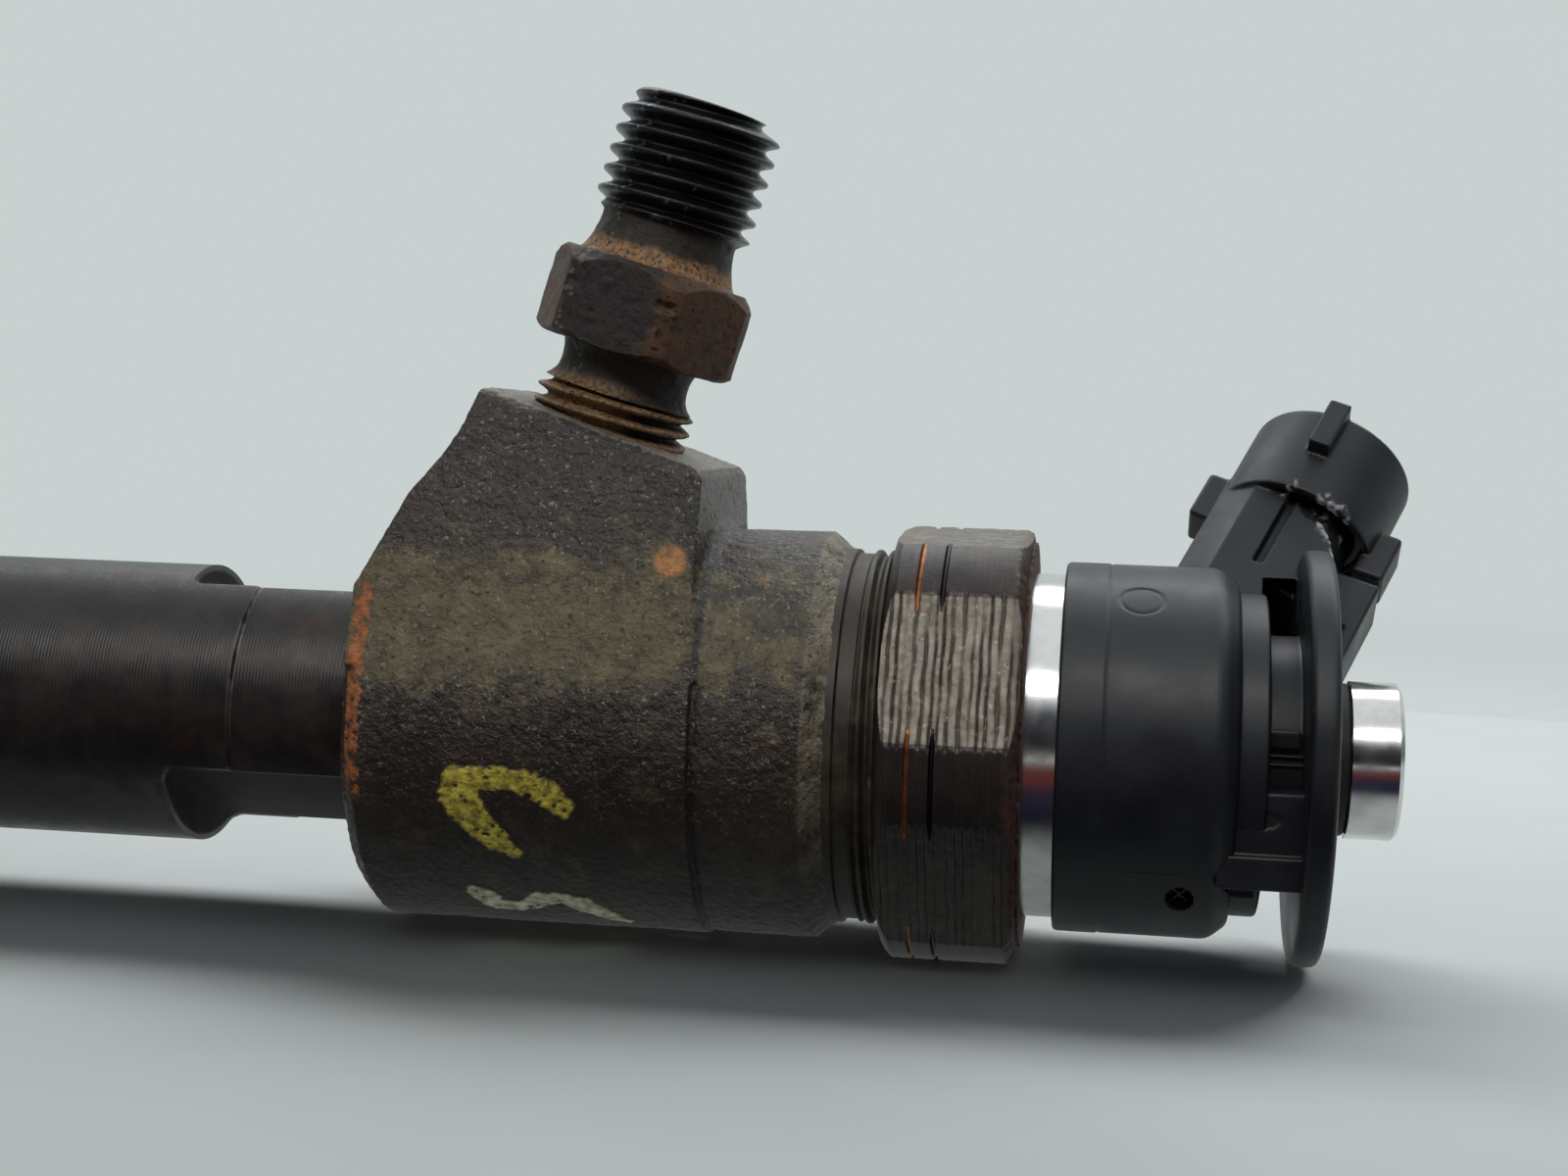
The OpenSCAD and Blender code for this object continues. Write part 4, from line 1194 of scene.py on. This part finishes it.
def make_cap():
    core = rod(CAP_START - 1, SLEEVE_END + 0.3, 12.9)
    pipe = rod(SLEEVE_END - 2, DISC_START + 10, 6.5)
    plan = Basis(SOCKET_MOUTH, SOCKET.e2, SOCKET.e1)
    left_section = [
        (-3.2, -5.15), (-0.65, -5.15), (-0.65, -4.0), (0.15, -4.0), (0.15, 4.4), (-5.9, 4.4), (-5.9, -3.0),
    ]
    root_section = [(-3.2, -5.15), (3.9, -5.05), (4.4, -4.6), (4.6, 4.4), (-5.9, 4.4), (-5.9, -3.0)]
    right_plan = [
        (0.1, 15.3), (0.1, 8.5), (1.3, 9.6), (2.6, 9.9), (3.8, 11.2), (4.55, 12.6), (4.6, 15.3),
    ]
    arm = [
        prism(left_section, -15.3, -7.7, SOCKET),
        prism(root_section, -24.5, -15.2, SOCKET),
        prism(right_plan, -5.1, 4.4, plan),
        block((4.4, -2.2, -15.8), (8.0, 2.5, -11.2), SOCKET, 0.25),
        block((6.9, -2.2, -20.5), (8.0, 2.5, -11.2), SOCKET, 0.25),
    ]
    barrel = turned("barrel", barrel_outline(), 160, basis=SOCKET)
    lugs = [block((x, -1.7, -10.2), (x + 2.4, 1.7, -5.8), SOCKET, 0.3) for x in (-7.8, 5.4)]
    key = block((-0.85, -7.6, -4.6), (0.85, -5.4, 0), SOCKET, 0.12)
    low = DISC_START + 0.4
    blocks = [
        block((SLEEVE_END + 3.6, -10.9, -5.3), (low, -5.6, -1.1), None, 0.12),
        block((SLEEVE_END + 2.8, -11.3, -7.7), (low, -3, -5.4), None, 0.12),
        block((SLEEVE_END + 3.7, -10.4, -8.5), (SLEEVE_END + 5.4, -5, -7.5), None, 0.1),
        block((SLEEVE_END + 6, -8.85, 1.0), (DISC_START + 0.1, -6, 1.25), None, 0.03),
        block((SLEEVE_END + 6, -8.85, 0.4), (DISC_START + 0.1, -6, 0.65), None, 0.03),
        block((SLEEVE_END + 6, -8.95, 1.6), (DISC_START - 0.2, -6, 2.9), None, 0.1),
    ]
    pocket = block((SLEEVE_END + 5.9, -12, 0), (DISC_START - 0.05, 9, 12.45))
    arm = [cut(piece, core, pipe, pocket) for piece in arm]
    plastic = moulded_plastic("cap_plastic", (0.0070, 0.0090, 0.0120))
    shell = turned("cap", cap_outline(), 720, cap_shape)
    put("cap_skin", shell, plastic, ["electrical_cap"], sharp=60)
    skin = fused("arm", [*arm, barrel, *lugs, key, *blocks], 0.12, 3)
    points = coordinates(skin)
    place = points - SOCKET_MOUTH
    a, b, station = place @ SOCKET.e1, place @ SOCKET.e2, place @ SOCKET.axis
    across_arm = np.exp(-((station + 8.3 + 0.25 * np.sin(a * 5)) / 0.35) ** 2) * (a > -1.2) * (a < 4.2)
    sweep = np.interp(a, [0.1, 1.3, 2.6, 3.8, 4.6], [-8.6, -9.7, -10, -11.2, -12.9])
    down_arm = np.exp(-((sweep - station) / 0.4) ** 2) * (a > 0.1) * (b < -3.6)
    patches = step_up(0.42, 0.60, grain(points, 0.28, 41)) * step_up(0.25, 0.5, grain(points, 1.3, 42))
    scuff = np.maximum(across_arm, down_arm) * (b < -2) * patches
    off_mark = np.hypot(points[:, 0] - SLEEVE_END - 5.95, (points[:, 2] + 2.95) / 0.6)
    mark = (off_mark < 1) & (points[:, 1] < -10)
    push(skin, 0.08 * scuff - 0.1 * mark)
    add_mask(skin, "scuff", scuff)
    put("cap_arm_skin", skin, plastic, ())


# ---------------------------------------------------------------- nozzle nut


def make_nozzle_nut():
    low, high = span("nozzle_retaining_nut")
    start, end, shoulder = low[0], high[0], MOUNTS["nozzle_nut"]["dims"]["r_mm"]
    hex_start, hex_across, crown = end - 10.4, 17.0, 9.3
    outline = dense(rounded([
        *shifted(start, (0, 3.65), (0, 7.0, 0.3), (0.5, 7.5, 0.3), (6.5, 7.5, 0.6), (9, shoulder, 0.6)),
        (hex_start, shoulder, 0.4), (hex_start + 0.9, crown, 0.2), (end - 1, crown, 0.3), (end, 8.7, 0.2),
        (end, 7.55), *shifted(start, (21.5, 7.55), (21, 7.2), (3.5, 7.2), (3.5, 3.65)),
    ], 0.1), 0.25)

    def shape(theta, x, r):
        hexed = np.minimum(r, flat_gap(theta, hex_across, 6, math.radians(30)))
        return np.where((x > hex_start) & (r > 8.4), hexed, r)

    mesh = turned("nozzle_nut", outline, 288, shape)
    steel = turned_steel(
        "nozzle_nut_steel", (0.10, 0.098, 0.095), (0.24, 0.235, 0.225), 0.01, (0.3, 0.42), 0.9
    )
    put("nozzle_nut_skin", mesh, steel, ["nozzle_retaining_nut"], sharp=35)


# ---------------------------------------------------------------- carried-over CAD nodes


def make_springs():
    """Coil springs as copies of their CAD meshes, in spring steel."""
    steel = plain_metal("spring_steel", (0.33, 0.33, 0.35), 0.3)
    # Fixed and moving end on the main axis, and the moving end's travel
    for node, joint, fixed, moving, travel in (
        ("nozzle_spring", "needle_lift", 47, 26, 0.25),
        ("armature_spring", "armature_overtravel", 115, 122.5, 0.04),
        ("valve_spring", "valve_lift", 136, 126.4, 0.05),
    ):
        cad = frame["nodes"][node]
        mesh = cad.data.copy()
        mesh.transform(Matrix.Scale(1 / MM, 4) @ cad.matrix_world)
        coil = put(node + "_coil", mesh, steel, [node], sharp=40)
        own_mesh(coil)


def finish_nodes():
    """Gives every CAD node that stays its own procedural finish."""
    polished = polished_steel()
    hard = plain_metal("hard_steel", (0.46, 0.45, 0.44), 0.24)
    iron = plain_metal("core_iron", (0.16, 0.155, 0.15), 0.45, 0.8)
    nozzle = turned_steel("nozzle_steel", (0.07, 0.067, 0.064), (0.19, 0.18, 0.17), 0.006, (0.3, 0.42), 0.9)
    copper = plain_metal("copper", (0.62, 0.27, 0.14), 0.34)
    brass = plain_metal("contact_brass", (0.66, 0.48, 0.20), 0.25)
    black_rubber = rubber("seal_rubber", 0.014)
    ivory = moulded_plastic("seal_plastic", (0.55, 0.50, 0.40), (0.35, 0.5), 0.006)
    brown = moulded_plastic("bobbin_plastic", (0.10, 0.045, 0.02))
    dark = moulded_plastic("carrier_plastic", (0.03, 0.03, 0.032))
    finishes = {
        polished: ["magnet_sleeve", "return_nipple"],
        hard: [
            "nozzle_needle", "nozzle_dowel_pins", "pressure_pin", "control_piston", "valve_body",
            "valve_clamping_nut", "valve_ball", "ball_holder", "armature_guide", "armature_pin",
            "stroke_ring", "air_gap_shim", "spring_shim", "valve_spring_shim", "inlet_filter",
            "armature_clip",
        ],
        iron: ["magnet_core", "armature_plate", "inlet_seal_ring"],
        nozzle: ["nozzle_body"],
        copper: ["sealing_washer", "coil_leads"],
        wound_wire(): ["coil_winding"],
        brass: ["terminal_pins"],
        black_rubber: ["body_o_ring", "flange_o_ring", "return_seal_ring"],
        ivory: ["valve_seal_ring"],
        brown: ["coil_bobbin"],
        dark: ["lead_carrier"],
    }
    for material, names in finishes.items():
        for name in names:
            mesh = frame["nodes"][name].data
            mesh.materials.clear()
            mesh.materials.append(material)


bpy.context.scene.view_settings.view_transform = "Standard"
make_camera()
make_world()
make_lights(make_floor())
make_body()
make_inlet()
make_nut()
make_cap()
make_nozzle_nut()
make_springs()
finish_nodes()
